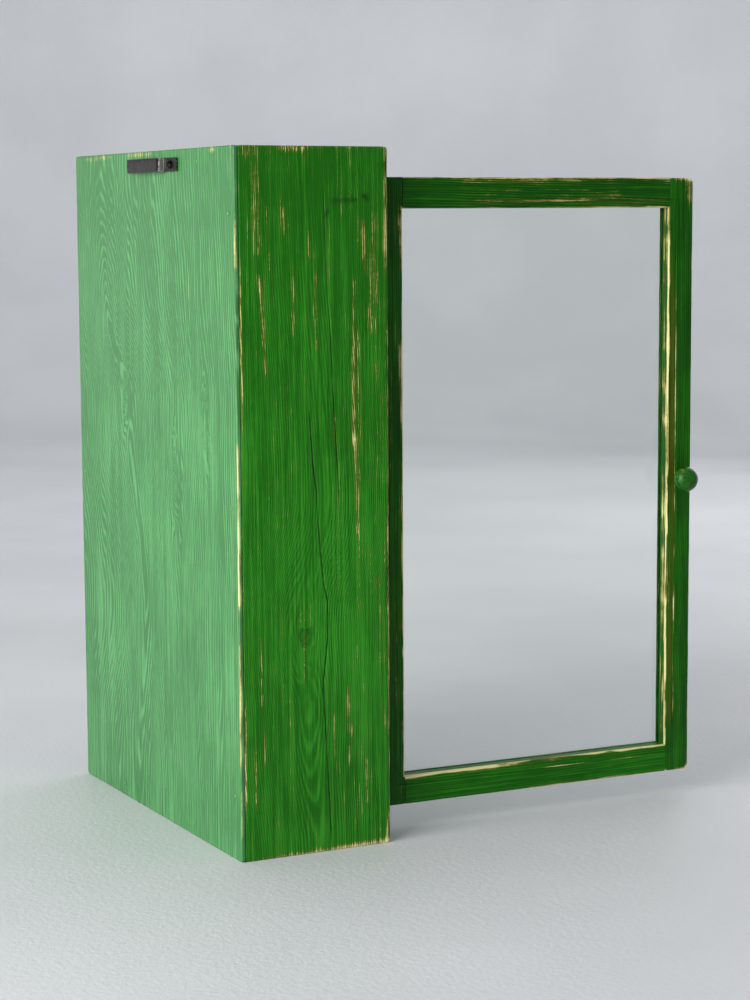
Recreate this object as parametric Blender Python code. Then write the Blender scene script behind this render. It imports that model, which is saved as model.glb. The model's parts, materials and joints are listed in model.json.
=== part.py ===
"""Hanging wall cabinet with one glazed door, made of separate boards, fittings and fasteners.

Metres, +Z up. The origin is the centre of the bottom board's underside. The front, with the door,
faces -Y; the back panel and its hanger strap face +Y. The door stands open at rest: its pieces are
laid out closed, around the hinge pins, under an empty that is then turned about those pins.
"""
import math

import bmesh
import bpy
from mathutils import Vector

MM = 0.001
FIT = 0.3 * MM                      # clearance between pieces that touch

# Carcass: two full-height sides, with the top and bottom boards between them
WIDTH = 403 * MM
HEIGHT = 650 * MM
BOARD = 25 * MM
BOARD_DEPTH = 149 * MM
BACK_THICKNESS = 4 * MM
ARRIS = 1.6 * MM                    # rounding of the exposed board edges
FRONT_Y = -BOARD_DEPTH / 2
REAR_Y = BOARD_DEPTH / 2
BACK_FACE_Y = REAR_Y + FIT + BACK_THICKNESS
INNER_X = WIDTH / 2 - BOARD         # inner face of a side

# Shelves, housed in grooves in the sides
SHELF = 12 * MM
SHELF_COUNT = 2
SHELF_FRONT_Y = FRONT_Y + 28 * MM
HOUSING_DEPTH = 6 * MM

# Dowels between the sides and the top and bottom boards
DOWEL_R = 4 * MM
DOWEL_IN_SIDE = 14 * MM
DOWEL_IN_BOARD = 18 * MM
DOWEL_Y = 45 * MM

# Pins that hold the back panel
PIN_R = 0.8 * MM
PIN_HEAD_R = 1.7 * MM
PIN_HEAD = 0.5 * MM
PIN_LENGTH = 20 * MM
SIDE_PIN_Z = (60 * MM, 325 * MM, 590 * MM)
TOP_PIN_X = 120 * MM
BOTTOM_PIN_X = 90 * MM

# Hanger: a flat steel strap, bent so that its middle stands off the back panel
HANGER_X = -5 * MM
HANGER_Z = 636 * MM
STRAP_HEIGHT = 13 * MM
STRAP_THICKNESS = 2 * MM
STRAP_FEET = (30 * MM, 15 * MM)     # left and right foot, from the middle of each riser
STRAP_BRIDGE = 79 * MM
STRAP_RISE = 9 * MM                 # from the panel to the bridge's outer face
STRAP_BEND_R = 2 * MM

# Door: mortised frame round a glass pane
DOOR_GAP = 2 * MM
DOOR_WIDTH = WIDTH - 2 * BOARD - 2 * DOOR_GAP
DOOR_BOTTOM = BOARD + DOOR_GAP
DOOR_TOP = HEIGHT - BOARD - DOOR_GAP
DOOR_THICKNESS = 20 * MM
DOOR_ARRIS = 1.0 * MM
STILE = 27 * MM
TOP_RAIL = 29 * MM
BOTTOM_RAIL = 27.5 * MM
DOOR_OPEN_DEG = 91.0                # how far the door stands open at rest
STEP_MARGIN = 8.5 * MM              # width of the sunk margin round the opening
STEP_DEPTH = 0.8 * MM
CHAMFER = 1.5 * MM
LIP = 13 * MM                       # frame in front of the glass
REBATE = 7 * MM
GLASS = 3 * MM
GLASS_OVERLAP = 5 * MM
TENON_LENGTH = 18 * MM
TENON_INSET = 7 * MM                # from the frame's front face, and from the rail's outer edge
TENON_THICKNESS = 6 * MM
TENON_HEIGHT = 12 * MM

# Hinges, with the pin just proud of the front plane
PIN_PROUD = 3 * MM
HINGE_X = -INNER_X + DOOR_GAP / 2
HINGE_Y = FRONT_Y - PIN_PROUD
HINGE_Z = (150 * MM, 500 * MM)
HINGE_LENGTH = 50 * MM
LEAF_THICKNESS = 1.0 * MM
LEAF_REACH = 17 * MM                # from the pin's axis to the leaf's far edge
LEAF_START = PIN_PROUD + FIT        # clear of the other leaf's knuckle
KNUCKLE_R = 2.7 * MM
HINGE_PIN_R = 1.2 * MM
LEAF_SCREW_Y = 10.5 * MM
LEAF_SCREW_Z = 16 * MM

# Knob
KNOB_R = 12.5 * MM
KNOB_REACH = 23 * MM
KNOB_Z = 325 * MM

# Magnetic catch on the right side, and its strike plate on the door
CATCH_Z = 352 * MM
CATCH_SIZE = Vector((14, 16, 44)) * MM
STRIKE_SIZE = Vector((11, 1, 34)) * MM

ROUND_SIDES = 12
FACES = {
    "-X": Vector((-1, 0, 0)), "+X": Vector((1, 0, 0)),
    "-Y": Vector((0, -1, 0)), "+Y": Vector((0, 1, 0)),
    "-Z": Vector((0, 0, -1)), "+Z": Vector((0, 0, 1)),
}


# ---------------------------------------------------------------- shared tools

def clear_scene():
    for thing in list(bpy.data.objects):
        bpy.data.objects.remove(thing, do_unlink=True)


def make_material(name, colour, roughness, metallic=0.0, transmission=0.0):
    material = bpy.data.materials.new(name)
    material.use_nodes = True
    shader = material.node_tree.nodes["Principled BSDF"]
    shader.inputs["Base Color"].default_value = (*colour, 1.0)
    shader.inputs["Roughness"].default_value = roughness
    shader.inputs["Metallic"].default_value = metallic
    shader.inputs["Transmission Weight"].default_value = transmission
    return material


def make_object(name, bm, material=None, parent=None, location=(0, 0, 0)):
    """Turn a bmesh into a named object, shaded smooth across its shallow edges."""
    mesh = bpy.data.meshes.new(name)
    bmesh.ops.recalc_face_normals(bm, faces=bm.faces)
    bm.to_mesh(mesh)
    bm.free()
    mesh.shade_smooth()
    mesh.set_sharp_from_angle(angle=math.radians(35))
    thing = bpy.data.objects.new(name, mesh)
    bpy.context.scene.collection.objects.link(thing)
    thing.parent = parent
    thing.location = location
    if material:
        mesh.materials.append(material)
    return thing


def box_bmesh(size):
    bm = bmesh.new()
    bmesh.ops.create_cube(bm, size=1.0)
    bmesh.ops.scale(bm, vec=size, verts=bm.verts)
    return bm


def round_exposed(bm, exposed, width, segments=3):
    """Round the edges where two of the exposed faces of a box meet."""
    normals = [FACES[name] for name in exposed]

    def is_exposed(face):
        return any(face.normal.dot(normal) > 0.99 for normal in normals)

    bm.normal_update()
    edges = [edge for edge in bm.edges if all(is_exposed(face) for face in edge.link_faces)]
    bmesh.ops.bevel(bm, geom=edges, offset=width, segments=segments, profile=0.5, affect="EDGES")


def box(name, low, high, material=None, parent=None, exposed=(), arris=ARRIS):
    """A box from its lowest to its highest corner, with its exposed edges rounded."""
    low, high = Vector(low), Vector(high)
    bm = box_bmesh(high - low)
    if exposed:
        round_exposed(bm, exposed, arris)
    return make_object(name, bm, material, parent, (low + high) / 2)


def turned(name, profile, position, direction, material=None, parent=None, sides=ROUND_SIDES):
    """A turned solid. profile lists (distance along the axis, radius), ending on the axis."""
    bm = bmesh.new()
    points = [bm.verts.new((radius, 0, along)) for along, radius in profile]
    edges = [bm.edges.new(pair) for pair in zip(points, points[1:])]
    bmesh.ops.spin(bm, geom=points + edges, cent=(0, 0, 0), axis=(0, 0, 1), dvec=(0, 0, 0),
                   angle=math.tau, steps=sides, use_merge=True)
    bmesh.ops.remove_doubles(bm, verts=bm.verts, dist=0.001 * MM)
    thing = make_object(name, bm, material, parent, position)
    thing.rotation_euler = Vector(direction).to_track_quat("Z", "Y").to_euler()
    return thing


def rod_profile(length, radius):
    return [(0, 0), (0, radius), (length, radius), (length, 0)]


def as_cutter(thing):
    thing.hide_render = True
    thing.display_type = "WIRE"
    return thing


def apply_boolean(target, tool, operation):
    modifier = target.modifiers.new(tool.name, "BOOLEAN")
    modifier.object = as_cutter(tool)
    modifier.operation = operation
    modifier.solver = "EXACT"


def cut(targets, tool):
    for target in targets:
        apply_boolean(target, tool, "DIFFERENCE")


def unite(target, tool):
    apply_boolean(target, tool, "UNION")


def dome(radius, height, steps=4):
    """Profile points of a domed head, from its top on the axis to its rim."""
    angles = [math.pi / 2 * (1 - step / steps) for step in range(steps + 1)]
    return [(height * math.sin(angle), radius * math.cos(angle)) for angle in angles]


def shank(radius, length, tip):
    return [(0, radius), (tip - length, radius), (-length, 0)]


def cut_slot(screw, head_top, head_radius, position, direction, parent=None):
    """The screwdriver slot across a screw's head."""
    bm = box_bmesh(Vector((0.8 * MM, 3 * head_radius, 1.4 * MM)))
    bmesh.ops.translate(bm, verts=bm.verts, vec=(0, 0, head_top))
    slot = make_object(screw.name + "_slot", bm, None, parent, position)
    slot.rotation_euler = Vector(direction).to_track_quat("Z", "Y").to_euler()
    cut([screw], slot)


def round_screw(name, position, direction, radius, length, head_radius, head, material, parent=None):
    """A round-headed screw whose head sits on the position and points along direction."""
    profile = dome(head_radius, head) + shank(radius, length, 2 * radius)
    screw = turned(name, profile, position, direction, material, parent)
    cut_slot(screw, head, head_radius, position, direction, parent)
    return screw


def flat_screw(name, position, direction, radius, length, head_radius, material, parent=None):
    """A countersunk screw whose flat head is level with the position."""
    cone = [(0, 0), (0, head_radius), (radius - head_radius, radius)]
    profile = cone + shank(radius, length, 2 * radius)[1:]
    screw = turned(name, profile, position, direction, material, parent)
    cut_slot(screw, 0, head_radius, position, direction, parent)
    return screw


def drill(name, targets, position, direction, radius, depth, parent=None):
    """A round hole from just outside the position, going in along direction."""
    start = Vector(position) - Vector(direction) * MM
    tool = turned(name, rod_profile(depth + MM, radius), start, direction, None, parent)
    cut(targets, tool)


# ---------------------------------------------------------------- carcass

def make_carcass(paint):
    """The two sides and the two boards between them."""
    inner = INNER_X - FIT
    left = box("side_panel_left", (-WIDTH / 2, FRONT_Y, 0), (-INNER_X, REAR_Y, HEIGHT),
               paint, exposed=("-X", "-Y", "+Z", "-Z"))
    right = box("side_panel_right", (INNER_X, FRONT_Y, 0), (WIDTH / 2, REAR_Y, HEIGHT),
                paint, exposed=("+X", "-Y", "+Z", "-Z"))
    top = box("top_board", (-inner, FRONT_Y, HEIGHT - BOARD), (inner, REAR_Y, HEIGHT),
              paint, exposed=("-Y", "+Z", "-Z"))
    bottom = box("bottom_board", (-inner, FRONT_Y, 0), (inner, REAR_Y, BOARD),
                 paint, exposed=("-Y", "+Z", "-Z"))
    return left, right, top, bottom


def make_dowels(left, right, top, bottom, bare_wood):
    """Two blind dowels in each corner joint."""
    for level, board in (("top", top), ("bottom", bottom)):
        z = HEIGHT - BOARD / 2 if level == "top" else BOARD / 2
        for hand, side, sign in (("left", left, -1), ("right", right, 1)):
            for place, y in (("front", -DOWEL_Y), ("rear", DOWEL_Y)):
                name = f"dowel_{level}_{hand}_{place}"
                out = Vector((sign, 0, 0))
                start = Vector((sign * (INNER_X - DOWEL_IN_BOARD), y, z))
                length = DOWEL_IN_BOARD + DOWEL_IN_SIDE
                turned(name, rod_profile(length, DOWEL_R), start, out, bare_wood)
                drill(name + "_hole", [side, board], start, out, DOWEL_R + FIT, length + FIT)


def make_shelves(left, right, paint):
    """Shelves that slide into their housings from behind."""
    clear_height = HEIGHT - 2 * BOARD - SHELF_COUNT * SHELF
    bay = clear_height / (SHELF_COUNT + 1)
    end = INNER_X + HOUSING_DEPTH
    for index, level in enumerate(("lower", "upper")):
        low = BOARD + bay + index * (bay + SHELF)
        box(f"shelf_{level}", (-end + FIT, SHELF_FRONT_Y, low), (end - FIT, REAR_Y, low + SHELF),
            paint, exposed=("-Y", "+Z", "-Z"), arris=MM)
        housing = box(f"shelf_{level}_housing", (-end, SHELF_FRONT_Y - FIT, low - FIT),
                      (end, REAR_Y + BOARD, low + SHELF + FIT))
        cut([left, right], housing)


def make_back(paint):
    low = (-WIDTH / 2, REAR_Y + FIT, 0)
    high = (WIDTH / 2, BACK_FACE_Y, HEIGHT)
    return box("back_panel", low, high, paint, exposed=FACES.keys() - {"-Y"}, arris=1.2 * MM)


def make_back_pins(back, left, right, top, bottom, paint):
    """Panel pins through the back panel into the rear edges of the boards."""
    edge = WIDTH / 2 - BOARD / 2
    places = [("left", left, -edge, z) for z in SIDE_PIN_Z]
    places += [("right", right, edge, z) for z in SIDE_PIN_Z]
    places += [("top", top, x, HEIGHT - BOARD / 2) for x in (-TOP_PIN_X, TOP_PIN_X)]
    places += [("bottom", bottom, x, BOARD / 2) for x in (-BOTTOM_PIN_X, BOTTOM_PIN_X)]
    profile = [(PIN_HEAD, 0), (PIN_HEAD, PIN_HEAD_R * 0.7), (0, PIN_HEAD_R)]
    profile += shank(PIN_R, PIN_LENGTH, 2 * PIN_R)
    for number, (edge_name, board, x, z) in enumerate(places, start=1):
        name = f"back_pin_{edge_name}_{number}"
        seat = Vector((x, BACK_FACE_Y + FIT, z))
        turned(name, profile, seat, FACES["+Y"], paint, sides=8)
        drill(name + "_hole", [back, board], seat, FACES["-Y"], PIN_R + FIT, PIN_LENGTH + MM)


# ---------------------------------------------------------------- hanger

def rounded_path(corners, radius, steps=4):
    """A plan path with each inner corner replaced by an arc."""
    path = [corners[0]]
    for before, corner, after in zip(corners, corners[1:], corners[2:]):
        arrive = (corner - before).normalized()
        leave = (after - corner).normalized()
        turn = arrive.angle(leave)
        start = corner - arrive * radius * math.tan(turn / 2)
        inward = (leave - arrive * arrive.dot(leave)).normalized()
        for step in range(steps + 1):
            angle = turn * step / steps
            along = arrive * radius * math.sin(angle)
            across = inward * radius * (1 - math.cos(angle))
            path.append(start + along + across)
    path.append(corners[-1])
    return path


def strap_outline(path, thickness):
    """The closed outline of a strap of even thickness that follows a path."""
    ahead = [(b - a).normalized() for a, b in zip(path, path[1:])]
    before = [ahead[0]] + ahead
    after = ahead + [ahead[-1]]
    left, right = [], []
    for point, arrive, leave in zip(path, before, after):
        middle = (arrive + leave).normalized()
        side = Vector((-middle.y, middle.x, 0))
        offset = side * (thickness / 2 / middle.dot(arrive))
        left.append(point + offset)
        right.append(point - offset)
    return left + right[::-1]


def make_hanger(back, top, steel):
    """The bent strap and the two screws through its feet into the top board."""
    low_y = FIT + STRAP_THICKNESS / 2
    high_y = STRAP_RISE - STRAP_THICKNESS / 2
    reach = STRAP_BRIDGE / 2
    left_end, right_end = (reach + foot for foot in STRAP_FEET)
    plan = ((-left_end, low_y), (-reach, low_y), (-reach, high_y), (reach, high_y), (reach, low_y), (right_end, low_y))
    path = rounded_path([Vector((x, y, 0)) for x, y in plan], STRAP_BEND_R)
    bm = bmesh.new()
    face = bm.faces.new([bm.verts.new(point) for point in strap_outline(path, STRAP_THICKNESS)])
    extruded = bmesh.ops.extrude_face_region(bm, geom=[face])
    lifted = [item for item in extruded["geom"] if isinstance(item, bmesh.types.BMVert)]
    bmesh.ops.translate(bm, verts=lifted, vec=(0, 0, STRAP_HEIGHT))
    place = (HANGER_X, BACK_FACE_Y, HANGER_Z - STRAP_HEIGHT / 2)
    strap = make_object("hanger_strap", bm, steel, None, place)
    for hand, sign, foot in (("left", -1, STRAP_FEET[0]), ("right", 1, STRAP_FEET[1])):
        x = HANGER_X + sign * (reach + foot / 2)
        seat = Vector((x, BACK_FACE_Y + STRAP_THICKNESS + 2 * FIT, HANGER_Z))
        name = f"hanger_screw_{hand}"
        round_screw(name, seat, FACES["+Y"], 1.8 * MM, 28 * MM, 4 * MM, 2.8 * MM, steel)
        drill(name + "_hole", [strap, back, top], seat, FACES["-Y"], 2.2 * MM, 30 * MM)


# ---------------------------------------------------------------- door

def door_box(name, axis, x, y, z, material=None, exposed=(), arris=DOOR_ARRIS):
    """A box on the door: x from its hinge edge, y back from its front face, z in the world."""
    shift_x = DOOR_GAP / 2
    low = (x[0] + shift_x, y[0] + PIN_PROUD, z[0])
    high = (x[1] + shift_x, y[1] + PIN_PROUD, z[1])
    return box(name, low, high, material, axis, exposed, arris)


def opening_box(name, axis, margin, y):
    """A box over the door's opening, widened by a margin on all four sides."""
    x = (STILE - margin, DOOR_WIDTH - STILE + margin)
    z = (DOOR_BOTTOM + BOTTOM_RAIL - margin, DOOR_TOP - TOP_RAIL + margin)
    return door_box(name, axis, x, y, z)


def opening_chamfer(axis):
    """A cutter that bevels the frame's inner front edges."""
    tool = opening_box("door_chamfer", axis, 0, (STEP_DEPTH, STEP_DEPTH + CHAMFER))
    for vertex in tool.data.vertices:
        if vertex.co.y < 0:
            vertex.co.x += math.copysign(CHAMFER, vertex.co.x)
            vertex.co.z += math.copysign(CHAMFER, vertex.co.z)
    return tool


def make_frame(axis, paint):
    """Two full-height stiles, with the tenoned rails between them."""
    depth = (0, DOOR_THICKNESS)
    height = (DOOR_BOTTOM, DOOR_TOP)
    far = DOOR_WIDTH - STILE
    outer = ("-Y", "+Y", "+Z", "-Z")
    hinge_stile = door_box("door_stile_hinge", axis, (0, STILE), depth, height, paint, outer + ("-X",))
    knob_stile = door_box("door_stile_knob", axis, (far, DOOR_WIDTH), depth, height, paint, outer + ("+X",))
    between = (STILE + FIT, far - FIT)
    bottom_z = (DOOR_BOTTOM, DOOR_BOTTOM + BOTTOM_RAIL)
    top_z = (DOOR_TOP - TOP_RAIL, DOOR_TOP)
    bottom = door_box("door_rail_bottom", axis, between, depth, bottom_z, paint, ("-Y", "+Y", "-Z"))
    top = door_box("door_rail_top", axis, between, depth, top_z, paint, ("-Y", "+Y", "+Z"))
    step = opening_box("door_step", axis, STEP_MARGIN, (-STEP_DEPTH, STEP_DEPTH))
    rebate = opening_box("door_rebate", axis, REBATE, (LIP, DOOR_THICKNESS + MM))
    members = (hinge_stile, knob_stile, bottom, top)
    for tool in (step, opening_chamfer(axis), rebate):
        cut(members, tool)
    tenon_low = {"bottom": DOOR_BOTTOM + TENON_INSET, "top": DOOR_TOP - TENON_INSET - TENON_HEIGHT}
    for name, rail in (("bottom", bottom), ("top", top)):
        make_tenons(axis, name, rail, (hinge_stile, knob_stile), tenon_low[name])
    return members


def make_tenons(axis, name, rail, stiles, low):
    """A tenon on each end of a rail, and its mortise in the stile."""
    y = (TENON_INSET, TENON_INSET + TENON_THICKNESS)
    z = (low, low + TENON_HEIGHT)
    shoulders = (STILE, DOOR_WIDTH - STILE)
    for hand, stile, shoulder, sign in zip(("hinge", "knob"), stiles, shoulders, (-1, 1)):
        ends = sorted((shoulder - sign * 2 * MM, shoulder + sign * TENON_LENGTH))
        unite(rail, door_box(f"tenon_{name}_{hand}", axis, ends, y, z))
        roomy = [(low_end - FIT, high_end + FIT) for low_end, high_end in (ends, y, z)]
        cut([stile], door_box(f"mortise_{name}_{hand}", axis, *roomy))


def make_glazing(axis, glass, paint):
    """The pane in its rebate, and four beads behind it."""
    pane_y = (LIP + FIT, LIP + FIT + GLASS)
    pane = opening_box("glass_pane", axis, GLASS_OVERLAP, pane_y)
    pane.data.materials.append(glass)
    bead_y = (pane_y[1] + FIT, DOOR_THICKNESS)
    wide = REBATE - FIT
    left, right = STILE, DOOR_WIDTH - STILE
    low, high = DOOR_BOTTOM + BOTTOM_RAIL, DOOR_TOP - TOP_RAIL
    full_x = (left - wide, right + wide)
    upright_z = (low + FIT, high - FIT)
    door_box("glazing_bead_bottom", axis, full_x, bead_y, (low - wide, low), paint, ("+Y", "+Z"))
    door_box("glazing_bead_top", axis, full_x, bead_y, (high, high + wide), paint, ("+Y", "-Z"))
    door_box("glazing_bead_hinge", axis, (left - wide, left), bead_y, upright_z, paint, ("+Y", "+X"))
    door_box("glazing_bead_knob", axis, (right, right + wide), bead_y, upright_z, paint, ("+Y", "-X"))


def knob_profile(bore_radius, bore_depth):
    """From the bottom of the screw's bore, out over the base, neck and head, to the front."""
    base_radius, neck_radius = KNOB_R * 0.56, KNOB_R * 0.42
    base, neck_end = 2 * MM, 8.5 * MM
    head_middle = neck_end + (KNOB_REACH - neck_end) * 0.45
    profile = [(bore_depth, 0), (bore_depth, bore_radius), (0, bore_radius), (0, base_radius)]
    profile += [(base, base_radius), (base + MM, neck_radius + 0.4 * MM), (neck_end - 2 * MM, neck_radius)]
    for step in range(5):
        angle = math.pi / 2 * step / 4
        widen = (KNOB_R - neck_radius) * math.sin(angle)
        profile.append((head_middle - (head_middle - neck_end) * math.cos(angle), neck_radius + widen))
    for step in range(1, 6):
        angle = math.pi / 2 * step / 5
        profile.append((head_middle + (KNOB_REACH - head_middle) * math.sin(angle), KNOB_R * math.cos(angle)))
    return profile


def make_knob(axis, knob_stile, paint, steel):
    """The turned knob, and the screw that holds it from behind the stile."""
    x = DOOR_GAP / 2 + DOOR_WIDTH - STILE / 2
    seat = Vector((x, PIN_PROUD - FIT, KNOB_Z))
    radius = 1.8 * MM
    turned("door_knob", knob_profile(radius + FIT, 15 * MM), seat, FACES["-Y"], paint, axis, sides=24)
    rear = Vector((x, PIN_PROUD + DOOR_THICKNESS + FIT, KNOB_Z))
    round_screw("knob_screw", rear, FACES["+Y"], radius, 33 * MM, 3.6 * MM, 2.2 * MM, steel, axis)
    drill("knob_screw_hole", [knob_stile], rear, FACES["-Y"], radius + FIT, 25 * MM, axis)


# ---------------------------------------------------------------- hinges

def knuckle_spans(middle, own_ends):
    """The heights of a leaf's knuckles: the two end thirds, or the middle third."""
    low = middle - HINGE_LENGTH / 2
    third = HINGE_LENGTH / 3
    if own_ends:
        return [(low, low + third - FIT / 2), (low + 2 * third + FIT / 2, low + HINGE_LENGTH)]
    return [(low + third + FIT / 2, low + 2 * third - FIT / 2)]


def make_leaf(name, origin, middle, sign, own_ends, steel, parent=None):
    """One leaf: a flat plate with tongues that carry its knuckles round the pin's axis.

    sign is -1 for the leaf on the side panel and +1 for the leaf on the door.
    """
    bottom, top = middle - HINGE_LENGTH / 2, middle + HINGE_LENGTH / 2
    near = DOOR_GAP / 2
    x = sorted((sign * near, sign * (near + LEAF_THICKNESS)))
    low = Vector((origin.x + x[0], origin.y + LEAF_START, bottom))
    high = Vector((origin.x + x[1], origin.y + LEAF_REACH, top))
    leaf = box(name, low, high, steel, parent)
    for number, span in enumerate(knuckle_spans(middle, own_ends)):
        tongue_low = (low.x, origin.y, span[0])
        tongue_high = (high.x, low.y + MM, span[1])
        unite(leaf, box(f"{name}_tongue_{number}", tongue_low, tongue_high, None, parent))
        foot = Vector((origin.x, origin.y, span[0]))
        barrel = rod_profile(span[1] - span[0], KNUCKLE_R)
        unite(leaf, turned(f"{name}_knuckle_{number}", barrel, foot, FACES["+Z"], None, parent, 16))
    bore_start = Vector((origin.x, origin.y, bottom))
    bore_radius = HINGE_PIN_R + FIT
    drill(f"{name}_bore", [leaf], bore_start, FACES["+Z"], bore_radius, HINGE_LENGTH + MM, parent)
    return leaf


def make_leaf_screws(name, origin, middle, sign, leaf, wood, steel, parent=None):
    """Two countersunk screws through a leaf into the wood behind it."""
    into = Vector((sign, 0, 0))
    head_radius, radius, length = 2.8 * MM, 1.4 * MM, 12 * MM
    sunk = 0.1 * MM
    for place, offset in (("lower", -LEAF_SCREW_Z), ("upper", LEAF_SCREW_Z)):
        surface = Vector((origin.x + sign * DOOR_GAP / 2, origin.y + LEAF_SCREW_Y, middle + offset))
        seat = surface + into * sunk
        screw = f"{name}_screw_{place}"
        flat_screw(screw, seat, -into, radius, length, head_radius, steel, parent)
        wide = head_radius + 2 * FIT
        cone = [(0, 0), (0, wide), (2 * LEAF_THICKNESS, wide - 2 * LEAF_THICKNESS), (2 * LEAF_THICKNESS, 0)]
        cut([leaf], turned(screw + "_countersink", cone, surface - into * 0.05 * MM, into, None, parent))
        drill(screw + "_hole", [wood], surface, into, radius + 0.5 * MM, length + 1.5 * MM, parent)


def cut_leaf_recess(name, origin, middle, sign, wood, parent=None):
    """The shallow recess that lets a leaf lie flush in the wood, open at the front."""
    half = HINGE_LENGTH / 2 + FIT
    x = sorted((0, sign * (DOOR_GAP / 2 + LEAF_THICKNESS + FIT)))
    low = (origin.x + x[0], origin.y, middle - half)
    high = (origin.x + x[1], origin.y + LEAF_REACH + FIT, middle + half)
    cut([wood], box(name + "_recess", low, high, None, parent))


def make_hinge(level, middle, axis, side, stile, steel):
    """A butt hinge: a leaf on the side panel, a leaf on the door, and their pin."""
    pin_line = Vector((HINGE_X, HINGE_Y, 0))
    on_door = Vector((0, 0, 0))
    case_name, door_name = f"hinge_{level}_case_leaf", f"hinge_{level}_door_leaf"
    case_leaf = make_leaf(case_name, pin_line, middle, -1, True, steel)
    door_leaf = make_leaf(door_name, on_door, middle, 1, False, steel, axis)
    cut_leaf_recess(case_name, pin_line, middle, -1, side)
    cut_leaf_recess(door_name, on_door, middle, 1, stile, axis)
    make_leaf_screws(case_name, pin_line, middle, -1, case_leaf, side, steel)
    make_leaf_screws(door_name, on_door, middle, 1, door_leaf, stile, steel, axis)
    head, head_radius = MM, 2.2 * MM
    pin = [(head, 0), (head, head_radius * 0.8), (0, head_radius)]
    pin += shank(HINGE_PIN_R, HINGE_LENGTH, HINGE_PIN_R / 2)
    top = pin_line + Vector((0, 0, middle + HINGE_LENGTH / 2 + FIT))
    turned(f"hinge_{level}_pin", pin, top, FACES["+Z"], steel)


# ---------------------------------------------------------------- catch

def make_catch(right, axis, knob_stile, plastic, steel):
    """The magnetic catch on the right side, and the strike plate on the door's inner face."""
    strike_y = (DOOR_THICKNESS + FIT, DOOR_THICKNESS + FIT + STRIKE_SIZE.y)
    strike_right = DOOR_WIDTH - MM
    strike_x = (strike_right - STRIKE_SIZE.x, strike_right)
    strike_z = (CATCH_Z - STRIKE_SIZE.z / 2, CATCH_Z + STRIKE_SIZE.z / 2)
    strike = door_box("strike_plate", axis, strike_x, strike_y, strike_z, steel)
    magnet_front = FRONT_Y + strike_y[1] + FIT
    case_front = magnet_front + MM
    case_x = (INNER_X - FIT - CATCH_SIZE.x, INNER_X - FIT)
    half = CATCH_SIZE.z / 2
    case_y = (case_front, case_front + CATCH_SIZE.y)
    case = box("catch_case", (case_x[0], case_y[0], CATCH_Z - half), (case_x[1], case_y[1], CATCH_Z + half),
               plastic, exposed=("-X", "-Y", "+Y", "+Z", "-Z"), arris=MM)
    magnet_x = (case_x[0] + 4 * MM, case_x[1] - 3 * MM)
    magnet_low = (magnet_x[0], magnet_front, CATCH_Z - 10 * MM)
    magnet_high = (magnet_x[1], case_front + 10 * MM, CATCH_Z + 10 * MM)
    box("catch_magnet", magnet_low, magnet_high, steel)
    pocket_low = [value - FIT for value in magnet_low]
    pocket_high = [value + FIT for value in magnet_high]
    cut([case], box("catch_pocket", pocket_low, pocket_high))
    for place, offset in (("lower", -16 * MM), ("upper", 16 * MM)):
        seat = Vector((case_x[0] - FIT, sum(case_y) / 2, CATCH_Z + offset))
        name = f"catch_screw_{place}"
        round_screw(name, seat, FACES["-X"], 1.3 * MM, 26 * MM, 2.6 * MM, 1.4 * MM, steel)
        drill(name + "_hole", [case, right], seat, FACES["+X"], 1.6 * MM, 27 * MM)
    make_strike_screw(axis, strike, strike_x, strike_y[1], knob_stile, steel)


def make_strike_screw(axis, strike, strike_x, face_y, knob_stile, steel):
    x = sum(strike_x) / 2 + DOOR_GAP / 2
    surface = Vector((x, face_y + PIN_PROUD, CATCH_Z + STRIKE_SIZE.z / 2 - 7 * MM))
    seat = surface - Vector((0, 0.1 * MM, 0))
    head_radius, radius, length = 2.6 * MM, 1.3 * MM, 11 * MM
    flat_screw("strike_screw", seat, FACES["+Y"], radius, length, head_radius, steel, axis)
    wide = head_radius + 2 * FIT
    cone = [(0, 0), (0, wide), (2 * MM, wide - 2 * MM), (2 * MM, 0)]
    start = surface + Vector((0, 0.05 * MM, 0))
    cut([strike], turned("strike_countersink", cone, start, FACES["-Y"], None, axis))
    drill("strike_screw_hole", [knob_stile], surface, FACES["-Y"], radius + 0.5 * MM, length + MM, axis)


# ---------------------------------------------------------------- whole cabinet

def make_cabinet():
    clear_scene()
    side_paint = make_material("green_paint", (0.035, 0.16, 0.03), 0.45)
    back_paint = make_material("green_paint_back", (0.10, 0.36, 0.12), 0.5)
    bare_wood = make_material("bare_pine", (0.55, 0.40, 0.22), 0.6)
    black_steel = make_material("black_steel", (0.03, 0.03, 0.03), 0.4, metallic=0.8)
    hinge_steel = make_material("hinge_steel", (0.35, 0.33, 0.30), 0.45, metallic=1.0)
    plastic = make_material("catch_plastic", (0.20, 0.12, 0.07), 0.5)
    glass = make_material("clear_glass", (0.95, 0.97, 0.95), 0.02, transmission=1.0)

    left, right, top, bottom = make_carcass(side_paint)
    make_dowels(left, right, top, bottom, bare_wood)
    make_shelves(left, right, side_paint)
    back = make_back(back_paint)
    make_back_pins(back, left, right, top, bottom, back_paint)
    make_hanger(back, top, black_steel)

    axis = bpy.data.objects.new("door_axis", None)
    bpy.context.scene.collection.objects.link(axis)
    axis.location = (HINGE_X, HINGE_Y, 0)
    axis.rotation_euler = (0, 0, -math.radians(DOOR_OPEN_DEG))
    hinge_stile, knob_stile, _, _ = make_frame(axis, side_paint)
    make_glazing(axis, glass, side_paint)
    make_knob(axis, knob_stile, side_paint, hinge_steel)
    for level, middle in zip(("lower", "upper"), HINGE_Z):
        make_hinge(level, middle, axis, left, hinge_stile, hinge_steel)
    make_catch(right, axis, knob_stile, plastic, hinge_steel)


make_cabinet()
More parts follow.
